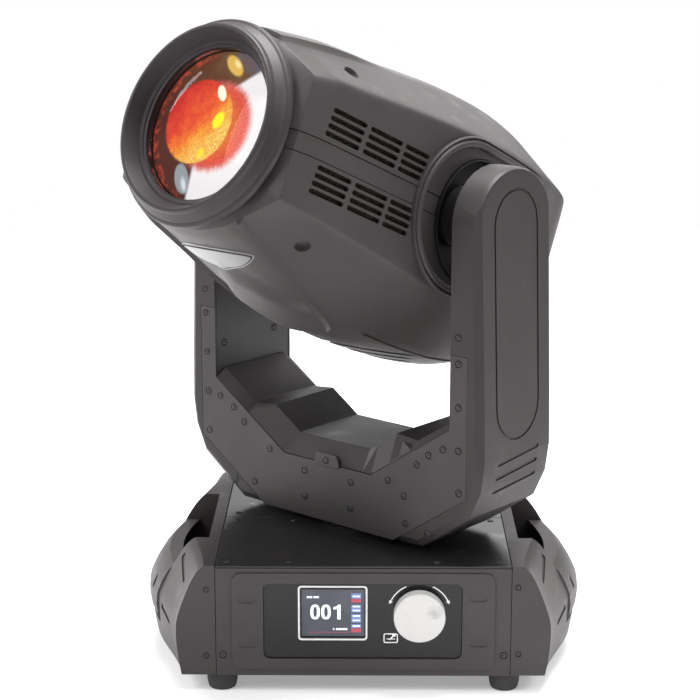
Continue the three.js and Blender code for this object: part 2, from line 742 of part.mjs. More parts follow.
function alongX(geometry, z) {
  return geometry.applyMatrix4(TO_X).translate(0, 0, z);
}

// ---------------------------------------------------------------- head
// head frame: x along the tilt axis, -y along the beam, z up across the beam
function headRing(l, off) {
  const a = tableAt(HEAD, l, 1) + off;
  const c = tableAt(HEAD, l, 2) + off * 0.45;
  const h = tableAt(HEAD, l, 3) + off;
  const b = tableAt(HEAD, l, 4) + off;
  const e = 0.48 * a;
  const half = [
    [0.5 * e, c + 0.955 * (h - c)], [e, c + 0.8 * (h - c)], [a - 3, c + 2.2], [a, c - 3],
    [a, 8], [a, -8], [a, -c + 3], [a - 3, -c - 2.2], [e, -c - 0.8 * (b - c)],
    [0.5 * e, -c - 0.955 * (b - c)],
  ];
  const ring = [[0, -l, h]];
  for (const [u, q] of half) ring.push([u, -l, q]);
  ring.push([0, -l, -b]);
  for (const [u, q] of half.slice().reverse()) ring.push([-u, -l, q]);
  return ring;
}

function headLoft(off, from, to) {
  const marks = [from];
  for (const l of [200, 160, 120, 60, 0, -60, -110, -150, -180]) {
    if (l < from - 2 && l > to + 2) marks.push(l);
  }
  marks.push(to);
  return loft(marks.map((l) => headRing(l, off)));
}

// cylinder on the pivot axis
function pivotTool(r, u0, u1) {
  return latheX([[0, u0], [r, u0], [r, u1], [0, u1]], 36);
}

// arch round the pivot, running out to the rear
function archTool(r, u0, u1) {
  const nose = arc(0, 0, r, Math.PI / 2, 1.5 * Math.PI, 16);
  return extrudeX(polygon([...nose, [260, -r], [260, r]]), u0, u1);
}

function ventSlots(rows, lean) {
  const tools = [];
  rows.forEach((q, row) => {
    for (const l of [177, 128, 81]) {
      const half = l === 81 ? 20 : 21.5;
      const mid = -(l + lean * row);
      const slot = roundRect(mid - half, mid + half, q - 2.2, q + 2.2, 1.4, 1);
      tools.push(extrudeX(slot, 85, 150), extrudeX(slot, -150, -85));
    }
  });
  return tools;
}

function headShell(upper) {
  const rows = upper ? [35, 27.8, 20.6, 13.4] : [-17.2, -24.4, -31.6, -38.8];
  const cutPlane = upper ? box(-200, 200, -300, 260, -300, STRIP_Q[1] + 0.4)
    : box(-200, 200, -300, 260, STRIP_Q[0] - 0.4, 300);
  const skin = headLoft(0, FRONT_L, REAR_L);
  const ridge = cut(archTool(ARCH_R + 8, 112, 129), archTool(ARCH_R, 100, 140));
  const nose = box(100, 140, -100, 30, -100, 100);
  const lip = common(ridge, nose);
  const body = join(skin, lip, mirrorX(lip));
  const hollow = headLoft(-SHELL, FRONT_L - 3, REAR_L + 3);
  const bezelHole = latheY([[0, 200], [87.5, 200], [87.5, 260], [0, 260]], 40);
  const rearHole = extrudeY(roundRect(-62, 62, -58, 62, 8), 150, 260);
  const side = pivotTool(PIVOT_R, 60, 200);
  return cut(body, hollow, bezelHole, rearHole, side, mirrorX(side), cutPlane,
    ...ventSlots(rows, 0.7));
}

// belt between the covers, with the sunken side panels round the pivots
function headChassis() {
  const slab = box(-200, 200, -300, 260, STRIP_Q[0], STRIP_Q[1]);
  const belt = common(headLoft(0, FRONT_L, REAR_L), slab);
  const inside = headLoft(-24, FRONT_L - 8, REAR_L + 16);
  const bezelHole = latheY([[0, 180], [89, 180], [89, 260], [0, 260]], 32);
  const rearHole = box(-62.3, 62.3, 150, 260, -40, 40);
  const side = cut(pivotTool(PIVOT_R, 60, 200), headLoft(-PIVOT_DEPTH - 2, 90, -90));
  const ring = cut(belt, inside, bezelHole, rearHole, side, mirrorX(side));
  const bridge = extrudeY(withHoles(roundRect(-92, 92, -62, 62, 16), circle(0, 0, 54)), -202, -198);
  const panel = pivotPanel();
  return join(ring, bridge, panel, mirrorX(panel));
}

function pivotPanel() {
  const layer = cut(headLoft(-PIVOT_DEPTH - 0.4, 90, -90), headLoft(-PIVOT_DEPTH - 3.2, 100, -100));
  const wall = cut(headLoft(-0.6, 90, -90), headLoft(-PIVOT_DEPTH - 1, 100, -100));
  const region = pivotTool(PIVOT_R - 0.5, 60, 200);
  const collar = cut(common(wall, region), pivotTool(PIVOT_R - 2.7, 50, 210));
  const hub = latheX([[0, 60], [HUB_R + 7, 60], [HUB_R + 7, 200], [0, 200]], 24);
  return join(cut(common(layer, region), hub), collar);
}

function frontBezel() {
  const profile = closed([
    [LIP_R - 2.5, LIP_L], [LIP_R, LIP_L - 2], [LIP_R + 1.5, LIP_L - 7], [91, LIP_L - 16],
    [93.5, LIP_L - 20], [93.5, FRONT_L + 0.6], [86.8, FRONT_L + 0.6], [86.8, 212], [78, 212],
    [78, 242.6], [73, 244], [77, LIP_L - 4],
  ]);
  return latheY(profile, 32);
}

function lensRing() {
  return latheY(closed([
    [LENS_R + GAP, 226], [77.6, 226], [77.6, 242.2], [72.6, 243.4], [LENS_R - 1.5, 240.6],
    [LENS_R - 1.5, 238.2], [LENS_R + GAP, 238.2],
  ]), 32);
}

function frontLens() {
  const profile = [[0, 227], [LENS_R - 0.5, 227], [LENS_R, 228], [LENS_R, 233]];
  const sag = 15;
  const radius = (LENS_R * LENS_R + sag * sag) / (2 * sag);
  for (let i = 5; i >= 0; i -= 1) {
    const r = (LENS_R - 2) * (i / 5);
    profile.push([r, 233 - radius + sag + Math.sqrt(radius * radius - r * r)]);
  }
  return latheY(profile, 32);
}

function trunnion(toothed) {
  const seat = tableAt(HEAD, 0, 1) - PIVOT_DEPTH - 1.6;
  const axle = latheX(closed([
    [16, seat], [HUB_R + 6, seat], [HUB_R + 6, seat + 9], [HUB_R, seat + 12], [HUB_R, 168], [16, 168],
  ]), 24);
  if (!toothed) return axle;
  const gear = pulley(TILT_PULLEY.r, HUB_R - 1, TILT_PULLEY.u0, TILT_PULLEY.u1, 16);
  return join(axle, gear.applyMatrix4(TO_X));
}

function badge() {
  const leaf = new THREE.Shape();
  leaf.moveTo(-42, -180);
  leaf.quadraticCurveTo(0, -193, 42, -180);
  leaf.quadraticCurveTo(0, -169, -42, -180);
  const prism = extrudeZ(leaf, -160, -60);
  return cut(common(prism, headLoft(1.6, FRONT_L, 100)), headLoft(0.35, FRONT_L + 2, 90));
}

const RODS = { u: 68, q: -30, r: 4 };
const WHEEL = { q: -42, r: 58, spindle: 4.6 };

// two bulkheads on guide rods, with the spindle that carries the effect wheels
function opticsFrame() {
  const bulkhead = (l, hole) => {
    const s = withHoles(roundRect(-80, 80, -70, 64, 12), circle(0, 0, hole));
    return extrudeY(s, -l - 3, -l);
  };
  const rods = [-1, 1].map((side) => latheY([[0, 21], [RODS.r, 21], [RODS.r, 195], [0, 195]], 12)
    .translate(side * RODS.u, 0, RODS.q));
  const spindle = latheY([[0, -2], [WHEEL.spindle, -2], [WHEEL.spindle, 21], [0, 21]], 16);
  const motor = box(-18, 18, -44, -22.5, -18, 18).translate(0, 0, WHEEL.q);
  return join(bulkhead(20, 34), bulkhead(193, 52), ...rods, spindle.translate(0, 0, WHEEL.q), motor);
}

function zoomCarriage() {
  const s = roundRect(-76, 76, -42, 46, 10);
  for (const side of [-1, 1]) s.holes.push(circle(side * RODS.u, RODS.q, RODS.r + GAP));
  const glass = latheY([[0, 122], [30, 124], [38, 128], [38, 132], [30, 136], [0, 138]], 20);
  return join(extrudeY(s, -134, -127), glass);
}

function effectWheel(l, count, hole) {
  const s = circle(0, 0, WHEEL.r, 28);
  for (let i = 0; i < count; i += 1) {
    const angle = Math.PI / 2 + (2 * Math.PI * i) / count;
    s.holes.push(circle(42 * Math.cos(angle), 42 * Math.sin(angle), hole, 10));
  }
  s.holes.push(circle(0, 0, WHEEL.spindle + GAP));
  return extrudeY(s, -l - 2, -l).translate(0, 0, WHEEL.q);
}

function lampReflector() {
  const outer = [];
  for (let i = 0; i <= 4; i += 1) outer.push([12 + 32 * (i / 4), -120 + 44 * (i / 4) ** 2]);
  const inner = outer.map(([r, l]) => [r - 2.2, l + 1.4]).reverse();
  return latheY(closed([...outer, ...inner]), 18);
}

function lampModule() {
  const lamp = latheY([[0, -150], [26, -150], [26, -128], [7, -128], [7, -112], [4, -98], [0, -95]], 20);
  return join(lamp, box(-40, 40, 138, 150, -34, 34));
}

// rear grille carrying the cooling fan
function rearCap() {
  const s = roundRect(-61.7, 61.7, -57.7, 61.7, 7.5);
  const slots = [];
  for (let row = -3; row <= 4; row += 1) {
    const z = row * 13 - 4;
    slots.push(box(-50, -4, 180, 210, z - 3, z + 3), box(4, 50, 180, 210, z - 3, z + 3));
  }
  const plate = cut(extrudeY(s, -REAR_L - 3, -REAR_L - 0.5), ...slots);
  const fan = fanFrame(FAN.size, FAN.depth).rotateX(Math.PI / 2).translate(0, FAN.y, 2);
  return join(plate, fan);
}

const FAN = { size: 44, depth: 20, y: 194 };

function fanFrame(size, depth) {
  const square = roundRect(-size, size, -size, size, 4);
  const rim = extrudeZ(withHoles(square, circle(0, 0, size - 2, 24)), 0, depth);
  const arms = [0, 1, 2].map((i) => box(0, size - 1, -2, 2, depth - 2.5, depth)
    .rotateZ((2 * Math.PI * i) / 3 + 0.3));
  return join(rim, ...arms, rod(10, depth - 2.5, depth, 16));
}

function fanRotor() {
  const { size, depth, y } = FAN;
  const blades = [];
  for (let i = 0; i < 7; i += 1) {
    const blade = box(8, size - 4, -0.9, 0.9, -5.5, 5.5).rotateX(0.8);
    blades.push(blade.translate(0, 0, depth / 2 - 1).rotateZ((2 * Math.PI * i) / 7));
  }
  const rotor = join(rod(9.5, 3.5, depth - 3.2, 16), ...blades);
  return rotor.rotateX(Math.PI / 2).translate(0, y, 2);
}

// ---------------------------------------------------------------- assembly
const light = new THREE.Group();
light.name = 'moving_head_light';

light.add(
  node('base_chassis', 'dark_steel', baseChassis()),
  node('base_top_front', 'black', basePan(true)),
  node('base_top_rear', 'black', basePan(false)),
  node('front_panel', 'shell', frontPanel()),
  node('display_fascia', 'gloss', displayFascia()),
  node('display_frame', 'white', displayFrame()),
  node('display_screen', 'screen', displayScreen()),
  node('jog_knob', 'knob', jogKnob()),
  node('encoder_shaft', 'steel', encoderShaft()),
  node('control_board', 'board', controlBoard()),
  node('connector_panel', 'dark_steel', connectorPanel()),
  node('power_inlet', 'black', socket(3, 'power_inlet')),
  node('dmx_input', 'black', socket(3, 'dmx_input')),
  node('dmx_output', 'black', socket(3, 'dmx_output')),
  node('fuse_holder', 'black', fuseHolder()),
  node('power_rocker', 'black', rocker()),
  node('left_side_cover', 'shell', mirrorX(sideCover())),
  node('right_side_cover', 'shell', sideCover()),
  node('left_handle', 'shell', mirrorX(handle())),
  node('right_handle', 'shell', handle()),
  node('foot_front_left', 'rubber', foot(-FOOT_X, -FOOT_Y)),
  node('foot_front_right', 'rubber', foot(FOOT_X, -FOOT_Y)),
  node('foot_rear_left', 'rubber', foot(-FOOT_X, FOOT_Y)),
  node('foot_rear_right', 'rubber', foot(FOOT_X, FOOT_Y)),
  node('clamp_plate', 'steel', clampPlate()),
  node('safety_eye', 'steel', safetyEye()),
  node('pan_bearing', 'steel', panBearing()),
  node('pan_motor', 'dark_steel', panMotor()),
  node('pan_motor_pulley', 'steel',
    pulley(9, 3.3, PAN_PULLEY.z0, PAN_PULLEY.z1, 12).translate(PAN_MOTOR.x, PAN_MOTOR.y, 0)),
  node('pan_belt', 'belt',
    beltLoop(PAN_PULLEY.r, 9, PAN_MOTOR.x, PAN_MOTOR.y, PAN_PULLEY.z0 + 1, PAN_PULLEY.z1 - 1)),
  node('power_supply', 'steel', powerSupply()),
  node('main_board', 'board', mainBoard()),
);

const yoke = new THREE.Group();
yoke.name = 'yoke';
yoke.rotation.z = PAN_REST;
const rightArm = armGrooves(armCover());
yoke.add(
  node('pan_column', 'steel', panColumn()),
  node('yoke_frame', 'dark_steel', yokeFrame()),
  node('yoke_front_plate', 'shell', yokePlate(true)),
  node('yoke_rear_plate', 'shell', yokePlate(false)),
  node('crossbar_cover', 'shell', crossbarCover()),
  node('right_arm_cover', 'shell', rightArm),
  node('left_arm_cover', 'shell', mirrorX(rightArm)),
  node('tilt_motor', 'dark_steel', tiltMotor()),
  node('tilt_motor_pulley', 'steel',
    alongX(pulley(9, 3.3, TILT_PULLEY.u0, TILT_PULLEY.u1, 12), TILT_MOTOR.z)),
  node('tilt_belt', 'belt', alongX(
    beltLoop(TILT_PULLEY.r, 9, 0, TILT_MOTOR.z - TILT_AXIS_Z, TILT_PULLEY.u0 + 1, TILT_PULLEY.u1 - 1),
    TILT_AXIS_Z)),
);
light.add(yoke);

const head = new THREE.Group();
head.name = 'head';
head.position.z = TILT_AXIS_Z;
head.rotation.x = -TILT_REST;
head.add(
  node('head_chassis', 'shell', headChassis()),
  node('head_upper_cover', 'shell', headShell(true)),
  node('head_lower_cover', 'shell', headShell(false)),
  node('front_bezel', 'shell', frontBezel()),
  node('lens_ring', 'black', lensRing()),
  node('front_lens', 'glass', frontLens()),
  node('right_trunnion', 'steel', trunnion(true)),
  node('left_trunnion', 'steel', mirrorX(trunnion(false))),
  node('rear_cap', 'black', rearCap()),
  node('head_fan_rotor', 'black', fanRotor()),
  node('badge', 'chrome', badge()),
  node('optics_frame', 'dark_steel', opticsFrame()),
  node('zoom_carriage', 'steel', zoomCarriage()),
  node('color_wheel', 'brass', effectWheel(13, 8, 10)),
  node('gobo_wheel', 'steel', effectWheel(6, 7, 11)),
  node('lamp_reflector', 'chrome', lampReflector()),
  node('lamp_module', 'white', lampModule()),
);
yoke.add(head);

light.updateMatrixWorld(true);
export default light;
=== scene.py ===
import json
from math import asin, atan2, copysign, cos, hypot, pi, radians, sin

import bmesh
import bpy
from mathutils import Matrix, Vector


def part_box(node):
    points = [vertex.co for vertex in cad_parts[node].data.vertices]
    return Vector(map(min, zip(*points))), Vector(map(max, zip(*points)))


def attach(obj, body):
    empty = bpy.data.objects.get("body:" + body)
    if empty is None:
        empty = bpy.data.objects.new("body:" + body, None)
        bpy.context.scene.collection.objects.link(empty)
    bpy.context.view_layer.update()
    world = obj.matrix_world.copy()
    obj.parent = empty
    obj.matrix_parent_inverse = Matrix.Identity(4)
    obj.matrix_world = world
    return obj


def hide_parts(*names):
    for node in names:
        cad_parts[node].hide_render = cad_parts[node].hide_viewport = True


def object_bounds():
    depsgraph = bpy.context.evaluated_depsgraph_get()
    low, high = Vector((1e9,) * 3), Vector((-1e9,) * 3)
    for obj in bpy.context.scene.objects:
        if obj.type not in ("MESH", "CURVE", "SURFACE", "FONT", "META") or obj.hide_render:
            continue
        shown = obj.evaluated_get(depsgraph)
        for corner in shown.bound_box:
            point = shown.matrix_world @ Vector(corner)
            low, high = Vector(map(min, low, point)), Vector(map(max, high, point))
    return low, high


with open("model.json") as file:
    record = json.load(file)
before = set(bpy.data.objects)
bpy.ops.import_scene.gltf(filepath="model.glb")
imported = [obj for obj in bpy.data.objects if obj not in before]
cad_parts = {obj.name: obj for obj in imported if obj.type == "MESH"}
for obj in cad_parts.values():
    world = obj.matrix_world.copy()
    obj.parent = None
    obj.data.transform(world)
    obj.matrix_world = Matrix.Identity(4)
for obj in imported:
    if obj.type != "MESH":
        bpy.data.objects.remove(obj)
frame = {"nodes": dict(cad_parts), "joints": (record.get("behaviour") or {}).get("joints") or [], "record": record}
CAD_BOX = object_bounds()

# ---- sizes, in millimetres
MM = 0.001
JOINTS = {j["name"]: j for j in frame["joints"]}
TILT_AXIS = Vector(JOINTS["tilt"]["axis"])
BEAM_AXIS = Vector(JOINTS["zoom"]["axis"])
TILT_Z = JOINTS["tilt"]["pos_m"][2] / MM
PAN_REST = atan2(TILT_AXIS.y, TILT_AXIS.x)
TILT_REST = asin(BEAM_AXIS.z)
YOKE = Matrix.Rotation(PAN_REST, 4, "Z")
HEAD = YOKE @ Matrix.Translation((0, 0, TILT_Z * MM)) @ Matrix.Rotation(-TILT_REST, 4, "X")
PLACES = {"base": Matrix.Identity(4), "jog_knob": Matrix.Identity(4), "yoke": YOKE, "head": HEAD}

BASE_TOP = 111
SEAM_X = 140.8
PANEL_Y = -150
FASCIA_Y = -149.2
SCREEN_Y = -149.0
KNOB_X, KNOB_Z, KNOB_R = 53.2, 63, 24.5
ARM_IN = 153.1

# head: distance along the beam, half width, side crease, crown, belly
HEAD_TABLE = [
    (224, 99, 56, 93, 94), (212, 104, 58, 96, 98), (198, 108, 60, 99, 101), (160, 112, 63, 107, 112),
    (120, 116, 67, 114, 124), (60, 122, 72, 123, 135), (0, 125, 76, 131, 139),
    (-60, 124, 78, 135, 138), (-110, 119, 77, 133, 134), (-150, 112, 75, 127, 125),
    (-180, 104, 70, 116, 110), (-196, 84, 56, 93, 88),
]
FRONT_L = 224
REAR_L = -196
NECK_L = 231.0
NECK_R = 88.0
SHELL_WALL = 2.6
STRIP_TOP = 6.7
STRIP_LOW = -11.7
PIVOT_R = 60
PIVOT_L = -16  # the wells round the pivots sit a little behind the tilt axis


def clamp(t, low=0.0, high=1.0):
    return max(low, min(high, t))


def ease(t):
    t = clamp(t)
    return t * t * (3 - 2 * t)


def hermite(table, key, column):
    """Smooth value of a column of a table whose first column falls steadily."""
    i = 0
    while i < len(table) - 2 and key < table[i + 1][0]:
        i += 1
    a, b = table[i], table[i + 1]
    before, after = table[max(i - 1, 0)], table[min(i + 2, len(table) - 1)]
    span = b[0] - a[0]
    t = (key - a[0]) / span
    m0 = span * (b[column] - before[column]) / (b[0] - before[0])
    m1 = span * (after[column] - a[column]) / (after[0] - a[0])
    return ((2 * t**3 - 3 * t**2 + 1) * a[column] + (t**3 - 2 * t**2 + t) * m0
            + (3 * t**2 - 2 * t**3) * b[column] + (t**3 - t**2) * m1)


def spline(points, steps):
    """Points on a smooth curve through the given ones."""
    full = [points[0], *points, points[-1]]
    out = []
    for i in range(1, len(full) - 2):
        p0, p1, p2, p3 = (Vector(p) for p in full[i - 1:i + 3])
        for k in range(steps):
            t = k / steps
            out.append(tuple(0.5 * (2 * p1 + (p2 - p0) * t + (2 * p0 - 5 * p1 + 4 * p2 - p3) * t * t
                                    + (3 * p1 - p0 - 3 * p2 + p3) * t**3)))
    out.append(tuple(points[-1]))
    return out


# ---- mesh kit
def new_object(name, data):
    obj = bpy.data.objects.new(name, data)
    bpy.context.scene.collection.objects.link(obj)
    return obj


def make_object(name, verts, faces):
    """A mesh object; its vertices are given in millimetres."""
    mesh = bpy.data.meshes.new(name)
    mesh.from_pydata([tuple(c * MM for c in v) for v in verts], [], faces)
    mesh.update()
    return weld(new_object(name, mesh))


def weld(obj):
    bm = bmesh.new()
    bm.from_mesh(obj.data)
    bmesh.ops.remove_doubles(bm, verts=bm.verts, dist=1e-6)
    bmesh.ops.dissolve_degenerate(bm, edges=bm.edges, dist=1e-7)
    bmesh.ops.recalc_face_normals(bm, faces=bm.faces)
    bm.to_mesh(obj.data)
    bm.free()
    return obj


def grid(rows, around=False, along=False, caps=False):
    """Vertices and faces of a net of rows.

    around closes each row, along joins the last row to the first, caps fills the first and the last row.
    """
    n, m = len(rows[0]), len(rows)
    verts = [p for row in rows for p in row]
    faces = []
    for i in range(m if along else m - 1):
        for j in range(n if around else n - 1):
            k, nxt = (j + 1) % n, (i + 1) % m
            faces.append((i * n + j, i * n + k, nxt * n + k, nxt * n + j))
    if caps:
        faces.append(tuple(range(n)))
        faces.append(tuple((m - 1) * n + j for j in range(n)))
    return verts, faces


def swept(name, rows):
    """A solid bar through a row of sections."""
    return make_object(name, *grid(rows, around=True, caps=True))


def settle(obj):
    """Applies the modifiers."""
    graph = bpy.context.evaluated_depsgraph_get()
    mesh = bpy.data.meshes.new_from_object(obj.evaluated_get(graph))
    obj.modifiers.clear()
    obj.data = mesh
    return obj


def merged(name, meshes):
    """One object made of several meshes."""
    bm = bmesh.new()
    for mesh in meshes:
        bm.from_mesh(mesh)
    whole = bpy.data.meshes.new(name)
    bm.to_mesh(whole)
    bm.free()
    return new_object(name, whole)


def join(name, objects):
    """One object in place of several that share a frame."""
    whole = merged(name, [o.data for o in objects])
    for o in objects:
        bpy.data.objects.remove(o)
    return whole


def repeated(name, pattern, spots):
    """One object with a copy of a mesh at each spot; a spot is a point and the way that its +Z looks."""
    copies = []
    for point, way in spots:
        turn = Vector(way).to_track_quat("Z", "Y").to_matrix().to_4x4()
        copy = pattern.data.copy()
        copy.transform(Matrix.Translation(Vector(point) * MM) @ turn)
        copies.append(copy)
    bpy.data.objects.remove(pattern)
    return merged(name, copies)


def shift(obj, x, y, z):
    obj.data.transform(Matrix.Translation((x * MM, y * MM, z * MM)))
    return obj


def modify(obj, kind, **values):
    modifier = obj.modifiers.new(kind.lower(), kind)
    for key, value in values.items():
        setattr(modifier, key, value)


def boolean(obj, tool):
    """Cuts the tool out of an object."""
    modify(obj, "BOOLEAN", operation="DIFFERENCE", solver="EXACT", object=tool)
    settle(obj)
    bpy.data.objects.remove(tool)
    return obj


def thicken(obj, thickness):
    modify(obj, "SOLIDIFY", thickness=thickness * MM, offset=-1, use_even_offset=True,
           use_quality_normals=True)
    return settle(obj)


def soften(obj, width, angle):
    """Rounds the sharp edges and evens out the shading."""
    limit = radians(angle)
    if width:
        modify(obj, "BEVEL", width=width * MM, segments=2, limit_method="ANGLE", angle_limit=limit,
               use_clamp_overlap=True, miter_outer="MITER_ARC")
    obj.data.shade_smooth()
    if not width:
        obj.data.set_sharp_from_angle(angle=limit)
    modify(obj, "WEIGHTED_NORMAL", keep_sharp=True)


def finish_piece(obj, body, look, hides=(), width=0.0, angle=30, keep_axes=False):
    """Puts a piece in its body's place; one that keeps its own axes can be coloured along them."""
    place = PLACES[body]
    obj.data.materials.clear()
    obj.data.materials.append(MATERIALS[look])
    if keep_axes:
        obj.matrix_world = place
    else:
        obj.data.transform(place)
    soften(obj, width, angle)
    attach(obj, body)
    if hides:
        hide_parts(*hides)
    return obj


def turned(name, profile, axis="Z", segments=96, closed=False):
    """A lathe piece: profile points are (radius, height); axis Y rises towards -y."""
    rows = []
    for r, h in profile:
        row = []
        for k in range(segments):
            c, s = cos(2 * pi * k / segments), sin(2 * pi * k / segments)
            point = {"Z": (r * c, r * s, h), "Y": (r * c, -h, r * s), "X": (h, r * c, r * s)}[axis]
            row.append(point)
        rows.append(row)
    return make_object(name, *grid(rows, around=True, along=closed))


def prism(name, outline, low, high, axis="Z"):
    """An extruded outline: axis Y takes (x, z) points, axis X takes (y, z) points."""
    place = {"Z": lambda a, b, h: (a, b, h), "Y": lambda a, b, h: (a, h, b),
             "X": lambda a, b, h: (h, a, b)}[axis]
    rows = [[place(a, b, h) for a, b in outline] for h in (low, high)]
    return swept(name, rows)


def arc(x, y, r, start, end, steps):
    return [(x + r * cos(start + (end - start) * k / steps),
             y + r * sin(start + (end - start) * k / steps)) for k in range(steps + 1)]


def polygon(x, y, r, sides):
    return arc(x, y, r, 0, 2 * pi * (sides - 1) / sides, sides - 1)


def round_rect(x0, x1, y0, y1, r, steps=6):
    q = pi / 2
    return [*arc(x1 - r, y1 - r, r, 0, q, steps), *arc(x0 + r, y1 - r, r, q, 2 * q, steps),
            *arc(x0 + r, y0 + r, r, 2 * q, 3 * q, steps), *arc(x1 - r, y0 + r, r, 3 * q, 4 * q, steps)]


# ---- materials
class Nodes:
    """Short names for building a node material."""

    def __init__(self, name):
        self.material = bpy.data.materials.new(name)
        self.material.use_nodes = True
        self.tree = self.material.node_tree
        self.shader = self.tree.nodes["Principled BSDF"]
        self.place = self.add("TexCoord").outputs["Object"]

    def add(self, kind, inputs=None, **values):
        node = self.tree.nodes.new("ShaderNode" + kind)
        for key, value in values.items():
            setattr(node, key, value)
        for key, value in (inputs or {}).items():
            node.inputs[key].default_value = value
        return node

    def link(self, a, b):
        self.tree.links.new(a, b)

    def feed(self, name, value):
        """Links a value to an input of the surface shader."""
        self.link(value, self.shader.inputs[name])

    def math(self, operation, a, b=0.0, c=0.0):
        node = self.add("Math", operation=operation)
        for slot, value in zip(node.inputs, (a, b, c)):
            if isinstance(value, bpy.types.NodeSocket):
                self.link(value, slot)
            else:
                slot.default_value = value
        return node.outputs[0]

    def noise(self, scale, detail=2.0, rough=0.5, stretch=None, at=None):
        node = self.add("TexNoise", {"Scale": scale, "Detail": detail, "Roughness": rough})
        source = self.place if at is None else at
        if stretch:
            mapping = self.add("Mapping", {"Scale": stretch})
            self.link(source, mapping.inputs["Vector"])
            source = mapping.outputs["Vector"]
        self.link(source, node.inputs["Vector"])
        return node.outputs["Fac"]

    def spread(self, value, low, high, to_low=0.0, to_high=1.0):
        ends = {"From Min": low, "From Max": high, "To Min": to_low, "To Max": to_high}
        node = self.add("MapRange", ends, interpolation_type="SMOOTHSTEP")
        self.link(value, node.inputs["Value"])
        return node.outputs["Result"]

    def ramp(self, value, stops):
        node = self.add("ValToRGB")
        elements = node.color_ramp.elements
        while len(elements) < len(stops):
            elements.new(0.5)
        for element, (position, colour) in zip(elements, stops):
            element.position = position
            element.color = (*colour, 1)
        self.link(value, node.inputs["Fac"])
        return node.outputs["Color"]

    def mix(self, factor, a, b):
        node = self.add("Mix", data_type="RGBA")
        for socket, value in ((node.inputs[0], factor), (node.inputs[6], a), (node.inputs[7], b)):
            if isinstance(value, bpy.types.NodeSocket):
                self.link(value, socket)
            elif isinstance(value, tuple):
                socket.default_value = (*value, 1)
            else:
                socket.default_value = value
        return node.outputs[2]

    def bump(self, height, strength, distance=0.0004):
        node = self.add("Bump", {"Strength": strength, "Distance": distance})
        self.link(height, node.inputs["Height"])
        self.link(node.outputs["Normal"], self.shader.inputs["Normal"])

    def set(self, **values):
        for key, value in values.items():
            self.shader.inputs[key.replace("_", " ")].default_value = value

    def lit(self, tone, glow, rough):
        """A surface that also gives off some light of its own colour."""
        self.feed("Base Color", tone)
        self.feed("Emission Color", tone)
        self.set(Emission_Strength=glow, Roughness=rough)
        return self.material


def scaled(colour, k):
    return tuple(c * k for c in colour)


def moulded(name, colour, rough, grain=1500, bump=0.25, metal=0.0, specular=0.5, vary=0.12):
    """Plastic or paint: a fine grain, slow changes of tone, and a few smoother patches."""
    n = Nodes(name)
    slow = n.noise(9, 3)
    tone = n.ramp(slow, [(0.3, scaled(colour, 1 - vary)), (0.7, scaled(colour, 1 + vary))])
    specks = n.spread(n.noise(grain, 2), 0.35, 0.7)
    n.feed("Base Color", n.mix(n.math("MULTIPLY", specks, 0.16), tone, scaled(colour, 1.7)))
    rub = n.spread(n.noise(38, 4, 0.6), 0.52, 0.74)
    n.feed("Roughness", n.math("MULTIPLY_ADD", rub, -0.09, rough))
    n.bump(n.noise(grain, 3), bump, 0.00012)
    n.set(Metallic=metal, Specular_IOR_Level=specular)
    return n.material


def brushed(name, colour, rough):
    n = Nodes(name)
    lines = n.noise(60, 3, 0.6, (1, 1, 40))
    n.feed("Base Color", n.ramp(lines, [(0.3, scaled(colour, 0.82)), (0.7, scaled(colour, 1.1))]))
    n.feed("Roughness", n.spread(lines, 0.3, 0.7, rough - 0.08, rough + 0.1))
    n.bump(lines, 0.1, 0.0001)
    n.set(Metallic=1.0)
    return n.material


def gloss_black(name):
    """Polished acrylic with faint dust and a slightly cloudy tone."""
    n = Nodes(name)
    cloud = n.noise(14, 4)
    n.feed("Base Color", n.ramp(cloud, [(0.3, (0.005, 0.005, 0.006)), (0.75, (0.012, 0.011, 0.013))]))
    n.feed("Roughness", n.spread(n.noise(220, 4, 0.7), 0.5, 0.75, 0.10, 0.22))
    n.bump(n.noise(25, 2), 0.05, 0.0004)
    n.set(Coat_Weight=0.06, Coat_Roughness=0.05, Specular_IOR_Level=0.28)
    return n.material


# the coloured glass, in head-local (u, q): a red outer round, and a fiery one within it
GLASS_CENTRE = (4, 0)
GLASS_R = 41
IRIS_CENTRE = (-17.0, 2.8)
IRIS_R = 39
HEAT_SLOPE = (0.0105, -0.0085)
FIRE_TONES = [(0.12, (0.62, 0.020, 0.016)), (0.38, (0.84, 0.085, 0.030)), (0.58, (0.95, 0.24, 0.03)),
              (0.76, (1.0, 0.50, 0.05)), (0.95, (1.0, 0.76, 0.16))]
RED_TONES = [(0.55, (0.90, 0.20, 0.04)), (0.80, (0.84, 0.10, 0.05)), (1.0, (0.80, 0.20, 0.17))]
DIM_TONES = [(0.15, (0.085, 0.022, 0.014)), (0.55, (0.13, 0.045, 0.020)), (0.75, (0.16, 0.08, 0.035)),
             (0.92, (0.13, 0.11, 0.14))]
# bright spots: painted highlights and reflections (the white, gold and grey-blue ones) and two yellow patches of
# the glass (the first two); centre, radii, lean in degrees, where the edge has faded in, colour
PAINTED_HIGHLIGHTS_AND_PATCHES = [
    ((6.5, 5.7), (7, 10), -26, 0.6, (1.0, 0.86, 0.02)),
    ((-3.7, -25.4), (5, 7), -20, 0.4, (1.0, 0.72, 0.03)),
    ((1.3, 30.5), (5, 9.5), 37, 0.75, (1.0, 0.93, 0.72)),
    ((5.7, 57), (7.3, 16), 54, 0.7, (0.78, 0.50, 0.10)),
    ((8.5, 58.5), (3.5, 8), 54, 0.2, (1.0, 0.84, 0.42)),
    ((-19, -50), (9, 16), 29, 0.8, (0.30, 0.33, 0.35)),
    ((-15, -55), (4.5, 11), 29, 0.1, (0.72, 0.80, 0.86)),
]


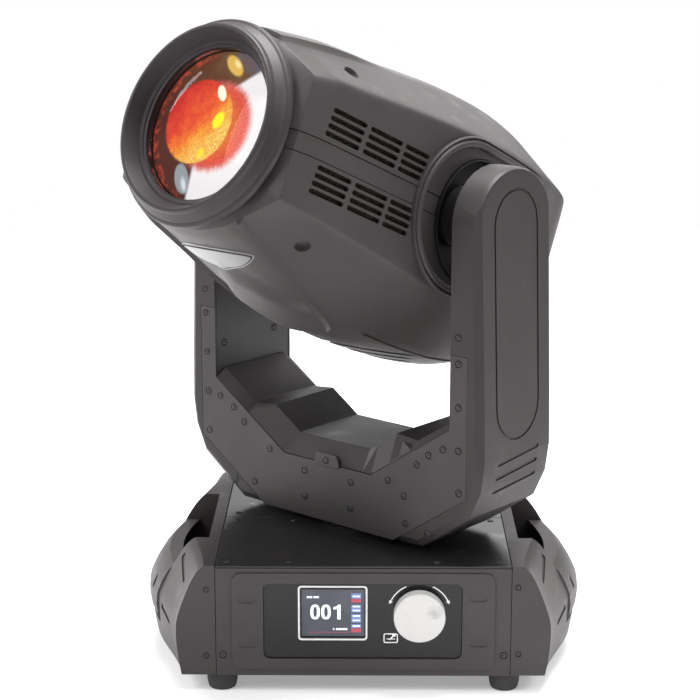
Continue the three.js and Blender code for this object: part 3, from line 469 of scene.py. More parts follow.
def painted_lens_light(name):
    """The coloured glass that shows through the front lens, seen against a pale reflector, all of it giving off
    painted light, since no lamp lights the inside of the head.
    """
    n = Nodes(name)
    split = n.add("SeparateXYZ")
    n.link(n.place, split.inputs[0])
    u = n.math("MULTIPLY", split.outputs[0], 1 / MM)
    q = n.math("MULTIPLY", split.outputs[2], 1 / MM)

    def weighted(a, weight_a, b, weight_b):
        return n.math("ADD", n.math("MULTIPLY", a, weight_a), n.math("MULTIPLY", b, weight_b))

    def from_centre(centre):
        return n.math("SUBTRACT", u, centre[0]), n.math("SUBTRACT", q, centre[1])

    def offset(centre, ru=1.0, rq=1.0, lean=0.0):
        """Distance from a centre, in radii of an ellipse that leans to the left by some degrees."""
        c, s = cos(radians(lean)), sin(radians(lean))
        du, dq = from_centre(centre)
        across = weighted(du, c / ru, dq, s / ru)
        along = weighted(du, -s / rq, dq, c / rq)
        return n.math("SQRT", weighted(across, across, along, along))

    def fibres(centre, count, size):
        """Noise drawn out along the radii from a centre."""
        du, dq = from_centre(centre)
        r = n.math("MAXIMUM", offset(centre), 1.0)
        place = n.add("CombineXYZ")
        n.link(n.math("DIVIDE", du, r), place.inputs[0])
        n.link(n.math("DIVIDE", dq, r), place.inputs[1])
        n.link(n.math("MULTIPLY", r, size), place.inputs[2])
        return n.math("SUBTRACT", n.noise(count, 4, at=place.outputs[0]), 0.5)

    fur = n.math("SUBTRACT", n.noise(420, 4, 0.7), 0.5)
    cloud = n.math("SUBTRACT", n.noise(55, 4, 0.6), 0.5)
    fringe = n.math("ADD", offset(GLASS_CENTRE, GLASS_R, GLASS_R),
                    n.math("MULTIPLY", fibres(GLASS_CENTRE, 34, 0.004), 0.20))
    iris = n.math("ADD", offset(IRIS_CENTRE, IRIS_R, IRIS_R), n.math("MULTIPLY", fur, 0.10))

    du, dq = from_centre(IRIS_CENTRE)
    slope = weighted(du, HEAT_SLOPE[0], dq, HEAT_SLOPE[1])
    heat = n.math("ADD", n.math("ADD", slope, 0.56), n.math("MULTIPLY", cloud, 0.85))
    grain = n.spread(n.noise(900, 5, 0.75), 0.3, 0.7, 0.5, 1.1)
    threads = n.spread(fibres(IRIS_CENTRE, 26, 0.02), -0.2, 0.2, 0.55, 1.1)
    weave = n.math("MULTIPLY", grain, threads)
    fire = n.mix(weave, (0.55, 0.03, 0.02), n.ramp(heat, FIRE_TONES))
    red = n.mix(weave, (0.42, 0.04, 0.03), n.ramp(fringe, RED_TONES))

    reflector = n.math("MINIMUM", weighted(u, 0.6, q, -0.8), n.math("SUBTRACT", u, 12.0))
    height = n.math("MULTIPLY_ADD", weighted(u, 0.7, q, 0.7), 0.008, 0.40)
    dim = n.ramp(n.math("ADD", height, n.math("MULTIPLY", cloud, 0.8)), DIM_TONES)
    behind = n.mix(n.spread(reflector, -23.0, -18.5), dim, (0.88, 0.86, 0.87))
    edge_glow = n.math("MULTIPLY", n.spread(offset((3, 0)), 64, 68), n.spread(u, -10, -38))
    streaks = n.math("MULTIPLY", edge_glow, n.spread(n.noise(150, 4, 0.7), 0.42, 0.66))
    dusk = n.mix(streaks, behind, (0.55, 0.075, 0.04))

    colour = n.mix(n.spread(fringe, 1.10, 0.88), dusk, red)
    colour = n.mix(n.spread(iris, 1.02, 0.96), colour, fire)
    # painted highlights and reflections, and the glass's yellow patches, laid over the colour
    for centre, radii, lean, edge, tint in PAINTED_HIGHLIGHTS_AND_PATCHES:
        colour = n.mix(n.spread(offset(centre, *radii, lean), 1.0, edge), colour, tint)
    n.feed("Base Color", n.mix(0.5, colour, (0.0, 0.0, 0.0)))
    # the colours are given off as painted light, since no lamp lights the inside of the head
    n.feed("Emission Color", colour)
    n.set(Emission_Strength=0.62, Roughness=0.3, Specular_IOR_Level=0.2)
    return n.material


def clear_glass(name):
    n = Nodes(name)
    n.feed("Roughness", n.spread(n.noise(30, 2), 0.4, 0.7, 0.0, 0.02))
    n.set(Transmission_Weight=1.0, IOR=1.12, Base_Color=(1, 1, 1, 1), Coat_Weight=0.15, Coat_Roughness=0.01)
    return n.material


def screen_glass(name):
    n = Nodes(name)
    shade = n.spread(n.noise(22, 2), 0.3, 0.7)
    tone = n.mix(shade, (0.030, 0.034, 0.050), (0.050, 0.054, 0.072))
    return n.lit(tone, 0.35, 0.12)


# glow is light given off: on the display's digits and keys it stands for the backlight, on white paint and the
# fascia's print it is painted light
def printed(name, colour, glow=0.0):
    n = Nodes(name)
    tone = n.ramp(n.noise(700, 2), [(0.2, scaled(colour, 0.88)), (0.8, colour)])
    return n.lit(tone, glow, 0.5)


def filter_mesh(name):
    """Open-cell filter foam, darkened into the hollows of its cells as painted shade."""
    n = Nodes(name)
    cells = n.add("TexVoronoi", {"Scale": 620})
    n.link(n.place, cells.inputs["Vector"])
    depth = cells.outputs["Distance"]
    n.feed("Base Color", n.ramp(depth, [(0.25, (0.003, 0.003, 0.002)), (0.85, (0.045, 0.040, 0.030))]))
    n.bump(depth, 0.6, 0.0006)
    n.set(Roughness=0.9, Specular_IOR_Level=0.1)
    return n.material


def circuit(name):
    n = Nodes(name)
    tracks = n.add("TexBrick", {"Scale": 90})
    n.link(n.place, tracks.inputs["Vector"])
    n.feed("Base Color", n.mix(tracks.outputs["Fac"], (0.02, 0.13, 0.06), (0.05, 0.26, 0.12)))
    n.set(Roughness=0.35)
    return n.material


CHARCOAL = (0.048, 0.0405, 0.041)
MATERIALS = {
    "shell": moulded("charcoal_plastic", CHARCOAL, 0.50, specular=0.30),
    "gloss": gloss_black("fascia_acrylic"),
    # its slight glow is painted light
    "white": printed("white_paint", (0.80, 0.80, 0.79), 0.05),
    "screen": screen_glass("display_glass"),
    "knob": moulded("satin_knob", (0.60, 0.59, 0.58), 0.34, grain=900, bump=0.06, vary=0.03),
    "steel": brushed("plain_steel", (0.56, 0.57, 0.58), 0.34),
    "dark_steel": moulded("black_powder_coat", (0.024, 0.0195, 0.0195), 0.50, grain=1100, bump=0.5),
    "black": moulded("black_plastic", (0.018, 0.016, 0.017), 0.42, grain=1300, specular=0.35),
    "rubber": moulded("foot_rubber", (0.031, 0.029, 0.030), 0.70, grain=700, bump=0.5),
    "belt": moulded("belt_rubber", (0.020, 0.020, 0.020), 0.80, grain=500, bump=0.6),
    "board": circuit("circuit_board"),
    "brass": brushed("filter_disc", (0.62, 0.47, 0.22), 0.30),
    "chrome": brushed("bright_metal", (0.78, 0.78, 0.78), 0.16),
    "glass": clear_glass("lens_glass"),
    "glow": painted_lens_light("painted_lens_light"),
    "bezel": moulded("bezel_plastic", (0.034, 0.028, 0.031), 0.48, bump=0.15, specular=0.30),
    "top_plate": moulded("top_plate_coat", (0.014, 0.013, 0.013), 0.34, grain=1300, bump=0.3),
    "mesh": filter_mesh("filter_mesh"),
    # near black: painted shade in recesses, the badge's groove and the wells round the screws and pivots
    "pit": moulded("recess_painted_shade", (0.010, 0.009, 0.009), 0.6, grain=1300, bump=0.2, specular=0.2),
    "screw": moulded("black_screw", (0.052, 0.049, 0.049), 0.34, grain=600, bump=0.1, metal=0.3),
    # its glow is painted light
    "mark": printed("white_print", (0.85, 0.85, 0.85), 0.25),
    "digit": printed("lit_digit", (0.86, 0.90, 0.98), 0.8),
    "blue_key": printed("blue_key", (0.16, 0.22, 0.46), 0.35),
    "red_key": printed("red_key", (0.42, 0.06, 0.09), 0.35),
    # the shell's charcoal darkened by a quarter as painted shade, for the arm covers and the crossbar cover
    "arm": moulded("arm_plastic_painted_shade", scaled(CHARCOAL, 0.74), 0.50, specular=0.26),
    "badge_plate": moulded("badge_plate", (0.20, 0.196, 0.193), 0.35, grain=700, bump=0.05, vary=0.2),
}


# ---- CAD nodes that stay
def dress(node, look=None, width=0.0, angle=28):
    """Gives a CAD node its material and, where it shows, rounded edges."""
    obj = frame["nodes"][node]
    slot = next(s["material_slot"] for s in frame["record"]["subparts"] if s["node"] == node)
    obj.data.materials.clear()
    obj.data.materials.append(MATERIALS[look or slot])
    if not width:
        return
    modify(obj, "WELD", merge_threshold=2e-6)
    modify(obj, "DECIMATE", decimate_type="DISSOLVE", angle_limit=radians(1.0))
    soften(obj, width, angle)


for node in frame["nodes"]:
    dress(node)


# ---- head
SIDE_COUNTS = (12, 4, 14)  # points along the side, over its crease, and on to the shoulder
SIDE_POINTS = sum(SIDE_COUNTS[:2])
HEIGHT_SHARES = (0.8, 0.955)  # of the top over the crease: at the shoulder, and inside it


def station(l):
    """The head's measures at a distance along the beam."""
    a, c, h, b = (hermite(HEAD_TABLE, l, k) for k in (1, 2, 3, 4))
    return {"a": a, "e": 0.48 * a, "c": c, "h": h, "b": b}


def smooth_line(points, passes):
    line = [Vector(p) for p in points]
    for _ in range(passes):
        inner = [0.5 * b + 0.25 * (a + c) for a, b, c in zip(line, line[1:], line[2:])]
        line = [line[0], *inner, line[-1]]
    return line


def shell_row(l, upper):
    """A section of one half of the head, from side to side over the crown or the belly, as (u, q)."""
    s = station(l)
    sign, top, start = (1, s["h"], STRIP_TOP) if upper else (-1, s["b"], -STRIP_LOW)
    a, e, c = s["a"], s["e"], s["c"]
    shoulder, near_top = (c + k * (top - c) for k in HEIGHT_SHARES)
    stops = [(a, start), (a, c - 2), (a - 2, c + 1.5), (e, shoulder)]
    line = []
    for (x, y), (xn, yn), count in zip(stops, stops[1:], SIDE_COUNTS):
        line += [(x + (xn - x) * k / count, y + (yn - y) * k / count) for k in range(count)]
    crown = spline([(e, shoulder), (0.5 * e, near_top), (0, top), (-0.5 * e, near_top), (-e, shoulder)], 11)
    mirror = [(-x, y) for x, y in reversed(line)]
    passes = round(3 + 3 * ease((l - 40) / 150)) if upper else round(2 + 6 * ease((100 - l) / 90))
    return [(p.x, sign * p.y) for p in smooth_line([*line, *crown, *mirror], passes)]


# The raised rim under the nose. RIM_TABLE: distance along the beam, outer half width of the rim.
# DISH_END: distance from the middle, and where along the beam the dish inside the rim ends there.
# RIM_STEPS: the rim's edges, inwards from its outer one.
RIM_TABLE = [(238, 66), (190, 61), (154, 60), (131, 58), (101, 54), (73, 48), (52, 42), (40, 36)]
DISH_END = [(60, 88), (52, 85), (44, 87), (36, 93), (30, 106), (21, 123), (6, 140), (0, 145)]
RIM_HEIGHT = 4.6
RIM_STEPS = (0.0, 1.8, 4.2, 7.4)
DISH_DEPTH = 5.0
RIM_START = 37


def rim_half(l):
    return hermite(RIM_TABLE, clamp(l, RIM_TABLE[-1][0], RIM_TABLE[0][0]), 1)


def belly_lift(u, l):
    """How far the dish lies in from the plain belly; on the rim it's less than 0."""
    side = rim_half(l) - abs(u)
    rise = clamp(side / RIM_STEPS[1]) * clamp((l - RIM_START) / 3.4)
    inside = clamp((side - RIM_STEPS[2]) / (RIM_STEPS[3] - RIM_STEPS[2]))
    end = hermite(DISH_END, min(abs(u), DISH_END[0][0]), 1)
    behind = clamp((l - end) / (9 + 18 * ease((40 - abs(u)) / 30)))
    return DISH_DEPTH * min(inside, behind) - RIM_HEIGHT * rise


def level_at(line, u):
    """The second value of a line of points, where the first one falls to u."""
    for (ua, qa), (ub, qb) in zip(line, line[1:]):
        if ub <= u <= ua and ua != ub:
            return qa + (qb - qa) * (u - ua) / (ub - ua)
    return line[-1][1]


def align_to_rim(row, l):
    """The same section with points on the edges of the rim, so that its creases are crisp."""
    half = row[:len(row) // 2 + 1]
    keep, rest = half[:SIDE_POINTS], half[SIDE_POINTS - 1:]
    edges = [rim_half(l) - step for step in RIM_STEPS]
    start = rest[0][0]
    stops = [start + (edges[0] - start) * k / 12 for k in range(1, 12)] + edges
    stops += [edges[-1] * (1 - k / 12) for k in range(1, 13)]
    keep += [(u, level_at(rest, u)) for u in stops]
    return keep + [(-u, q) for u, q in reversed(keep[:-1])]


ROWS = 116
HOOD_HEIGHT = 4.6
NOSE = ((0.0, 4), (0.0, 0), (0.5, 0), (0.97, 0))  # share of the way from the neck to the shell, neck's inset
TAIL = ((0.22, 2.2), (0.6, 3.0), (1.0, 3.0))  # share of the way from the shell to the rear opening, drop
REAR_U = 62.5
REAR_Q = (58.5, 62.5)  # the rear opening's half height below and above


def head_shell(name, upper):
    """The upper or the lower cover, from its round neck behind the bezel to the opening at the rear."""
    def section(l):
        row = shell_row(l, upper)
        return row if upper else align_to_rim(row, l)

    rows = []
    start = STRIP_TOP if upper else STRIP_LOW
    first = [Vector(p) for p in section(FRONT_L)]
    for part, inset in NOSE:
        row = []
        for p in first:
            rim = p.normalized() * (NECK_R - inset)
            if abs(rim.y) < abs(start):
                rim.y = start
            at = rim.lerp(p, part)
            row.append((at.x, -(FRONT_L + (NECK_L - FRONT_L) * (1 - part) ** 0.8), at.y))
        rows.append(row)
    for i in range(ROWS + 1):
        l = FRONT_L - i * (FRONT_L - REAR_L) / ROWS
        hood_u = station(l)["e"] + 2
        hood = HOOD_HEIGHT * ease((l - 70) / 100)
        if upper:
            rows.append([(u, -l, q + hood * ease((hood_u - abs(u)) / 2.5)) for u, q in section(l)])
        else:
            rows.append([(u, -l, q + belly_lift(u, l)) for u, q in section(l)])
    last = section(REAR_L)
    hole = []
    for u, q in last:
        k = max(abs(u) / REAR_U, abs(q) / REAR_Q[upper])
        hole.append((u / k, q / k))
    for part, drop in TAIL:
        rows.append([(u + (hu - u) * part, -(REAR_L - drop), q + (hq - q) * part)
                     for (u, q), (hu, hq) in zip(last, hole)])
    return thicken(make_object(name, *grid(rows)), SHELL_WALL)


SIDE_SLOTS = ((177, 21.5), (129, 21.5), (87, 16.5))  # middle along the beam, half length
SLOT_HALF, SLOT_ROUND, SLOT_SHIFT = 2.3, 2.2, 0.7
SLOT_REACH = (88, 132)  # both reaches go right through the side's wall
HOLE_REACH = (90, 140)
SLOT_ROWS = {True: (35, 27.8, 20.6, 13.4), False: (-17.2, -24.4, -31.6, -38.8)}
VENTS = ((-15, 50), (-45, 40), (-75, 30))  # middle along the beam, half width
VENT_SECTION = ((6, -105), (-6, -105), (-6, -160), (6, -160))
VENT_BOW = 0.025
COVER_SCREW = (83, -162, 80.5)
COVER_SCREW_WAY = {True: (0.60, -0.16, 0.78), False: (0.60, -0.26, -0.78)}
SCREW_HOLE = [(0.01, -9), (7.6, -9), (7.8, 12), (0.01, 12)]
SCREW_CUP = [(8.2, 0.2), (7.5, -0.3), (7.0, -1.6), (6.0, -3.6), (4.2, -5.2), (2.2, -5.8), (2.0, -5.2),
             (1.0, -5.0), (0.01, -5.0), (0.01, -7.4), (5.2, -7.2), (8.2, -3.6)]


def slot_tools(rows):
    tools = []
    for side in (1, -1):
        for centre, half in SIDE_SLOTS:
            for k, q in enumerate(rows):
                l = centre + SLOT_SHIFT * k
                outline = round_rect(l - half, l + half, q - SLOT_HALF, q + SLOT_HALF, SLOT_ROUND, 5)
                outline = [(-y, z) for y, z in outline]
                tools.append(prism("slot", outline, side * SLOT_REACH[0], side * SLOT_REACH[1], "X"))
    return join("slots", tools)


def pivot_hole(side, radius):
    low, high = (side * x for x in HOLE_REACH)
    profile = [(0.01, low), (radius, low), (radius, high), (0.01, high)]
    return shift(turned("pivot_hole", profile, "X", 96), 0, -PIVOT_L, 0)


def at_recesses(profile, upper, name):
    """The same lathe piece at both cover screws of a half of the head."""
    x, y, z = COVER_SCREW
    out, forward, up = COVER_SCREW_WAY[upper]
    spots = [((side * x, y, z if upper else -z), (side * out, forward, up)) for side in (1, -1)]
    return repeated(name, turned("recess", profile, "Z", 40), spots)


def vent(l, reach):
    """A tool for a slot across the belly that bows to the rear."""
    steps = [reach * k / 10 for k in range(-10, 11)]
    return swept("vent", [[(u, -(l - VENT_BOW * u * u + w), q) for w, q in VENT_SECTION] for u in steps])


def cover(name, upper, hidden):
    shell = head_shell(name, upper)
    boolean(shell, slot_tools(SLOT_ROWS[upper]))
    for side in (1, -1):
        boolean(shell, pivot_hole(side, PIVOT_R))
    boolean(shell, at_recesses(SCREW_HOLE, upper, "recesses"))
    if not upper:
        boolean(shell, join("vents", [vent(l, reach) for l, reach in VENTS]))
    return finish_piece(shell, "head", "shell", [hidden], 0.6, 35)


cover("upper_cover", True, "head_upper_cover")
cover("lower_cover", False, "head_lower_cover")
cups = join("recess_cups", [at_recesses(SCREW_CUP, upper, "cups") for upper in (True, False)])
finish_piece(cups, "head", "shell", angle=40)


def vent_screens():
    """Dark filter mesh close behind the side and belly slots."""
    parts = []
    for side in (1, -1):
        for q0, q1 in ((STRIP_TOP + 1, 44), (-48, STRIP_LOW - 1)):
            rows = []
            for k in range(24):
                l = 206 - 6.4 * k
                a = station(l)["a"] - 4.2
                rows.append([(side * x, -l, q) for x, q in ((a, q0), (a, q1), (a - 1, q1), (a - 1, q0))])
            parts.append(swept("screen", rows))
    across = range(-55, 56, 5)
    rows = []
    for k in range(17):
        l = 10 - 9 * k
        b = station(l)["b"] - 5.5
        low = [(u, -l, -b + 0.0016 * u * u) for u in across]
        high = [(u, -l, -b + 0.0016 * u * u + 1) for u in reversed(across)]
        rows.append(low + high)
    parts.append(swept("screen", rows))
    return finish_piece(join("vent_screens", parts), "head", "mesh")


vent_screens()


def belly_point(u, l, out):
    """A point of the belly's surface, moved outwards by a distance."""
    belly = [p for p in shell_row(l, False) if p[1] < -60]
    return (u, -l, level_at(belly, u) + belly_lift(u, l) - out)


BADGE_L = 178


def almond(name, half_u, half_l, low, high, look, hides=()):
    """A thin pointed oval that follows the belly."""
    rows = []
    for k in range(33):
        t = -1 + k / 16
        half = half_l * (1 - t * t) ** 0.8 + 0.05
        rows.append([belly_point(half_u * t, BADGE_L + half * w, out)
                     for out, steps in ((high, (-1, -0.5, 0, 0.5, 1)), (low, (1, -1))) for w in steps])
    return finish_piece(swept(name, rows), "head", look, hides, angle=40)


almond("badge_surround", 46, 17, -1.0, 0.9, "badge_plate", ["badge"])
# the groove round the badge is filled with painted shade
almond("badge_groove", 44, 15, 0.2, 1.2, "pit")
almond("badge_face", 42, 13.4, 0.6, 1.8, "badge_plate")


# inset from the pivot's radius, and height over the side of the head
WELL = [(0.4, -2.6), (0.4, 0.9), (1.2, 1.4), (2.2, 0.9), (2.4, -12.4), (35, -12.4), (35, -15.2),
        (0.4, -15.2)]


def side_strips():
    """The seam strips, the ring walls round both pivots, and the floors of their recesses; the walls and floors
    are near black, painted shade.
    """
    low, high = STRIP_LOW + 0.5, STRIP_TOP - 0.5
    parts, walls = [], []
    for side in (1, -1):
        stops = [(NECK_L - 0.6, NECK_R - 0.4)]
        for k in range(71):
            l = FRONT_L - k * (FRONT_L - REAR_L) / 70
            stops.append((l, station(l)["a"] - 0.6))
        rows = []
        for l, a in stops:
            rows.append([(side * x, -l, q) for x, q in ((a - 4, low), (a - 0.6, low), (a, low + 0.6),
                                                        (a, high - 0.6), (a - 0.6, high), (a - 4, high))])
        parts.append(boolean(swept("strip", rows), pivot_hole(side, PIVOT_R - 1.5)))
        tail = [(62.7, 198.6), (71, 198.6), (79.3, 197.8), (83.6, 195.6), (83.6, 190), (62.7, 190)]
        parts.append(prism("strip_tail", [(side * x, y) for x, y in tail][::side], low, high))
        edge = station(0)["a"]
        ring = [(PIVOT_R - inset, side * (edge + x)) for inset, x in WELL]
        walls.append(shift(turned("ring", ring, "X", 120, closed=True), 0, -PIVOT_L, 0))
    finish_piece(join("seam_strips", parts), "head", "shell", ["head_chassis"], angle=32)
    finish_piece(join("pivot_wells", walls), "head", "pit", angle=32)


side_strips()


def arches():
    """The double ridge round each pivot, running straight back along the head."""
    section = [(65.5, -18), (65.5, 0.8), (66.2, 3.2), (67.8, 5.0), (70.2, 5.6), (72.0, 4.4), (72.6, 2.2),
               (73.4, 2.0), (74.0, 3.6), (75.2, 3.6), (76.0, 2.4), (76.2, -18)]
    tail, steps, turns = 142, 28, 60
    path = [(-tail + k * tail / steps, 0, 1) for k in range(steps)]
    path += [(0, cos(pi / 2 - pi * k / turns), sin(pi / 2 - pi * k / turns)) for k in range(turns + 1)]
    path += [(-k * tail / steps, 0, -1) for k in range(1, steps + 1)]
    parts = []
    for side in (1, -1):
        rows = []
        for start, forward, up in path:
            fade = ease((start + tail) / 60)
            row = []
            for r, height in section:
                l, q = start + r * forward, r * up
                if height > -5:
                    height = height * fade - 3.5 * (1 - fade)
                row.append((side * (station(l)["a"] + height), -l, q))
            rows.append(row)
        parts.append(swept("arch", rows))
    return finish_piece(join("pivot_arches", parts), "head", "shell", angle=50)


arches()


# ---- lens
LENS_R = 70.8
CORE_R = 70.2
BEZEL = [
    (84.6, 254.6), (86.4, 254.4), (87.6, 253.2), (88.2, 250.8), (88.4, 249.2), (91.8, 244.4), (93.2, 243.0),
    (93.8, 241.4), (95.2, 240.8), (96.6, 239.4), (97.2, 237.4), (96.9, 234.6), (95.5, 233.0), (86.8, 233.0),
    (86.8, 212), (80.6, 212), (80.6, 237.4), (77.6, 238.2), (76.8, 239.2), (77.2, 241.0), (82.6, 252.6),
    (83.4, 254.0),
]
RETAINER = [(71.4, 224), (79.8, 224), (79.8, 239.6), (78.4, 240.6), (75.2, 240.6), (73.8, 239.8),
            (73.0, 238.0), (70.9, 237.6), (70.9, 236.0), (71.4, 235.8)]


def lens():
    rings = (("bezel_ring", BEZEL, "front_bezel"), ("lens_retainer", RETAINER, "lens_ring"))
    for name, profile, hidden in rings:
        finish_piece(turned(name, profile, "Y", 160, closed=True), "head", "bezel", [hidden], angle=26)
    dome = [(LENS_R * k / 24, 246 - 12 * (k / 24) ** 2) for k in range(1, 25)]
    dome = [(0.01, 246), *dome, (LENS_R, 228.5), (LENS_R - 1, 228), (0.01, 228)]
    finish_piece(turned("lens_dome", dome, "Y", 160), "head", "glass", ["front_lens"])
    core = [(CORE_R * k / 30, 225.4 + 1.6 * cos(k / 30 * pi / 2)) for k in range(1, 31)]
    core = [(0.01, 225.4), *core, (CORE_R, 223.0), (0.01, 223.0)]
    finish_piece(turned("lens_core", core, "Y", 128), "head", "glow", keep_axes=True)


lens()


# ---- base: display and knob
def framed(name, outer, inner, y_back, y_front, r_outer, r_inner, soft):
    """A rounded rectangular frame that stands on an upright face, as one closed ring."""
    def loop(box, r, inset, y):
        x0, x1, z0, z1 = box
        line = round_rect(x0 + inset, x1 - inset, z0 + inset, z1 - inset, r - inset, 8)
        return [(x, y, z) for x, z in line]
    rows = [loop(outer, r_outer, 0, y_back), loop(outer, r_outer, 0, y_front + soft),
            loop(outer, r_outer, soft, y_front), loop(inner, r_inner + soft, -soft, y_front),
            loop(inner, r_inner, 0, y_front + soft), loop(inner, r_inner, 0, y_back)]
    return make_object(name, *grid(rows, around=True, along=True))


def raised(name, outlines, back, front):
    """Flat printed shapes on an upright face."""
    return join(name, [prism("shape", line, back, front, "Y") for line in outlines])


def box_line(x0, x1, z0, z1):
    return [(x0, z0), (x1, z0), (x1, z1), (x0, z1)]


def thick_line(points, width):
    """The outline of a line with a width, from one end to the other and back."""
    left, right = [], []
    for i, (x, z) in enumerate(points):
        before, after = points[max(i - 1, 0)], points[min(i + 1, len(points) - 1)]
        dx, dz = after[0] - before[0], after[1] - before[1]
        k = width / 2 / hypot(dx, dz)
        left.append((x - dz * k, z + dx * k))
        right.append((x + dz * k, z - dx * k))
    return [*left, *reversed(right)]


LCD_BACK, LCD_FRONT, LCD_MARGIN_FRONT = -149.5, -150.3, -149.9
# boxes are (left, right, bottom, top)
LCD_OUTER = (-62, 4, 36, 91)
LCD_LINE = 1.7
LCD_INNER = (-58.4, 1.2, 39.8, 87.2)
PRINT = (SCREEN_Y + 0.1, SCREEN_Y - 0.15)
FASCIA_PRINT = (FASCIA_Y + 0.1, FASCIA_Y - 0.12)
DIGIT_WIDE, DIGIT_HIGH, DIGIT_FOOT, DIGIT_STROKE = 9.0, 14.7, 57, 2.7
ZEROS = (-50.2, -39.9)
ONE = [(-24.6, 57), (-21.6, 57), (-21.6, 71.7), (-23.8, 71.7), (-24.8, 70.2), (-28.2, 69.0), (-28.2, 66.9),
       (-24.6, 67.6)]
KEY_LEFT, KEY_RIGHT = -11.3, -2.0
BLUE_KEYS = [(KEY_LEFT, KEY_RIGHT, *z) for z in ((77.9, 83.1), (64.0, 71.7), (53.7, 62.3), (48.2, 52.0))]
RED_KEYS = [(KEY_LEFT, KEY_RIGHT, 74.1, 77.6), (KEY_LEFT, KEY_RIGHT, 43.9, 47.8), (-52, -13, 43.7, 44.1)]
# rows of small boxes in place of words: left edge, width, bottom, top, where each box starts
KEY_WORDS_Z = (80.2, 70.0, 66.0, 60.4, 56.0, 50.2)
WORDS = [(KEY_LEFT, 1.3, z - 0.7, z + 0.7, (1.4, 3.2, 5.0, 6.8)) for z in KEY_WORDS_Z]
WORDS += [(-53.5, 1.4, 78.4, 80.2, (0, 1.8, 3.6, 6.4, 8.2, 10.0)),
          (-28.7, 1.1, 46.1, 48.0, (0, 2.8, 4.4, 6.0, 7.6, 9.2, 10.8, 12.4))]


def zero(left):
    """The digit 0: a ring between two ovals with full corners."""
    x, z = left + DIGIT_WIDE / 2, DIGIT_FOOT + DIGIT_HIGH / 2
    back, front = PRINT
    rows = []
    for y, inset in ((back, 0), (front, 0), (front, DIGIT_STROKE), (back, DIGIT_STROKE)):
        rx, rz = DIGIT_WIDE / 2 - inset, DIGIT_HIGH / 2 - inset * 0.8
        rows.append([(x + rx * copysign(abs(c) ** 0.8, c), y, z + rz * copysign(abs(s) ** 0.8, s))
                     for c, s in polygon(0, 0, 1, 40)])
    return make_object("zero", *grid(rows, around=True, along=True))


def display():
    x0, x1, z0, z1 = LCD_OUTER
    line = (x0 + LCD_LINE, x1 - LCD_LINE, z0 + LCD_LINE, z1 - LCD_LINE)
    ring = framed("lcd_surround", LCD_OUTER, line, LCD_BACK, LCD_FRONT, 3.4, 2.2, 0.25)
    finish_piece(ring, "base", "white", ["display_frame"])
    margin = framed("lcd_margin", line, LCD_INNER, LCD_BACK, LCD_MARGIN_FRONT, 2.2, 0.8, 0.15)
    finish_piece(margin, "base", "gloss")
    digits = [*[zero(left) for left in ZEROS], prism("one", ONE, *PRINT, "Y")]
    finish_piece(join("channel_digits", digits), "base", "digit")
    for name, boxes, look in (("blue_keys", BLUE_KEYS, "blue_key"), ("red_keys", RED_KEYS, "red_key")):
        finish_piece(raised(name, [box_line(*box) for box in boxes], *PRINT), "base", look)
    marks = [box_line(x + k, x + k + wide, low, high)
             for x, wide, low, high, starts in WORDS for k in starts]
    finish_piece(raised("screen_marks", marks, PRINT[0], PRINT[1] - 0.12), "base", "digit")


ARROW_R, ARROW_LINE, ARROW_TIP, ARROW_HALF = 29.9, 1.0, 3.2, 1.9
ARROWS = ((115, 155), (65, 25))  # in degrees round the knob, from tail to tip


def fascia_marks():
    """A curved arrow on each side over the knob, and a boxed key beside it."""
    prints = []
    for start, end in ARROWS:
        line = arc(KNOB_X, KNOB_Z, ARROW_R, radians(start), radians(end), 16)
        prints.append(thick_line(line, ARROW_LINE))
        (x, z), turn = line[-1], radians(end) + copysign(pi / 2, end - start)
        c, s = cos(turn), sin(turn)
        prints.append([(x + ARROW_TIP * c, z + ARROW_TIP * s), (x - ARROW_HALF * s, z + ARROW_HALF * c),
                       (x + ARROW_HALF * s, z - ARROW_HALF * c)])
    x, z = KNOB_X - 27, KNOB_Z - 25
    prints.append(thick_line([(x - 4.0, z - 0.8), (x + 4.0, z - 0.8)], 0.7))
    prints.append(thick_line([(x - 1.2, z - 1.6), (x + 2.6, z + 2.6)], 1.0))
    prints.append(polygon(x + 3.2, z + 3.2, 1.7, 16))
    outer = (x - 6.8, x + 6.8, z - 4.8, z + 4.8)
    inner = (x - 5.9, x + 5.9, z - 3.9, z + 3.9)
    icon = framed("icon", outer, inner, *FASCIA_PRINT, 1.6, 0.9, 0.05)
    marks = join("fascia_marks", [raised("panel_marks", prints, *FASCIA_PRINT), icon])
    finish_piece(marks, "base", "mark")


DIMPLE_R, DIMPLE_X, DIMPLE_Z, DIMPLE_OUT = 9.2, 14.2, 6.6, 5.4


def jog_knob():
    low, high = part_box("jog_knob")
    front, back = low.y / MM, high.y / MM
    r = KNOB_R
    profile = [(0.01, -back), (r - 0.6, -back), (r, -back + 0.6), (r, -front - 1.6), (r - 0.5, -front - 0.5),
               (r - 1.6, -front), (0.01, -front)]
    knob = shift(turned("knob", profile, "Y", 160), KNOB_X, 0, KNOB_Z)
    ball = [(0.01 + DIMPLE_R * sin(pi * k / 24), DIMPLE_R * cos(pi * k / 24)) for k in range(25)]
    dimple = turned("dimple", ball, "Y", 64)
    shift(dimple, KNOB_X + DIMPLE_X, front - DIMPLE_OUT, KNOB_Z + DIMPLE_Z)
    finish_piece(boolean(knob, dimple), "jog_knob", "knob", ["jog_knob"], angle=35)


display()
fascia_marks()
jog_knob()


# ---- base: side covers, feet and plates
COVER_PROFILE = [(173.7, 0.5), (176.3, 15), (178.3, 34), (178.5, 47), (177, 58.5), (171.2, 76), (164.2, 93),
                 (157.3, 105), (151, 110.7)]
COVER_LINE = spline(COVER_PROFILE, 5)
COVER_FALL = [(z, x) for x, z in reversed(COVER_LINE)]
COVER_BOW = 38
BASE_LONG = 300


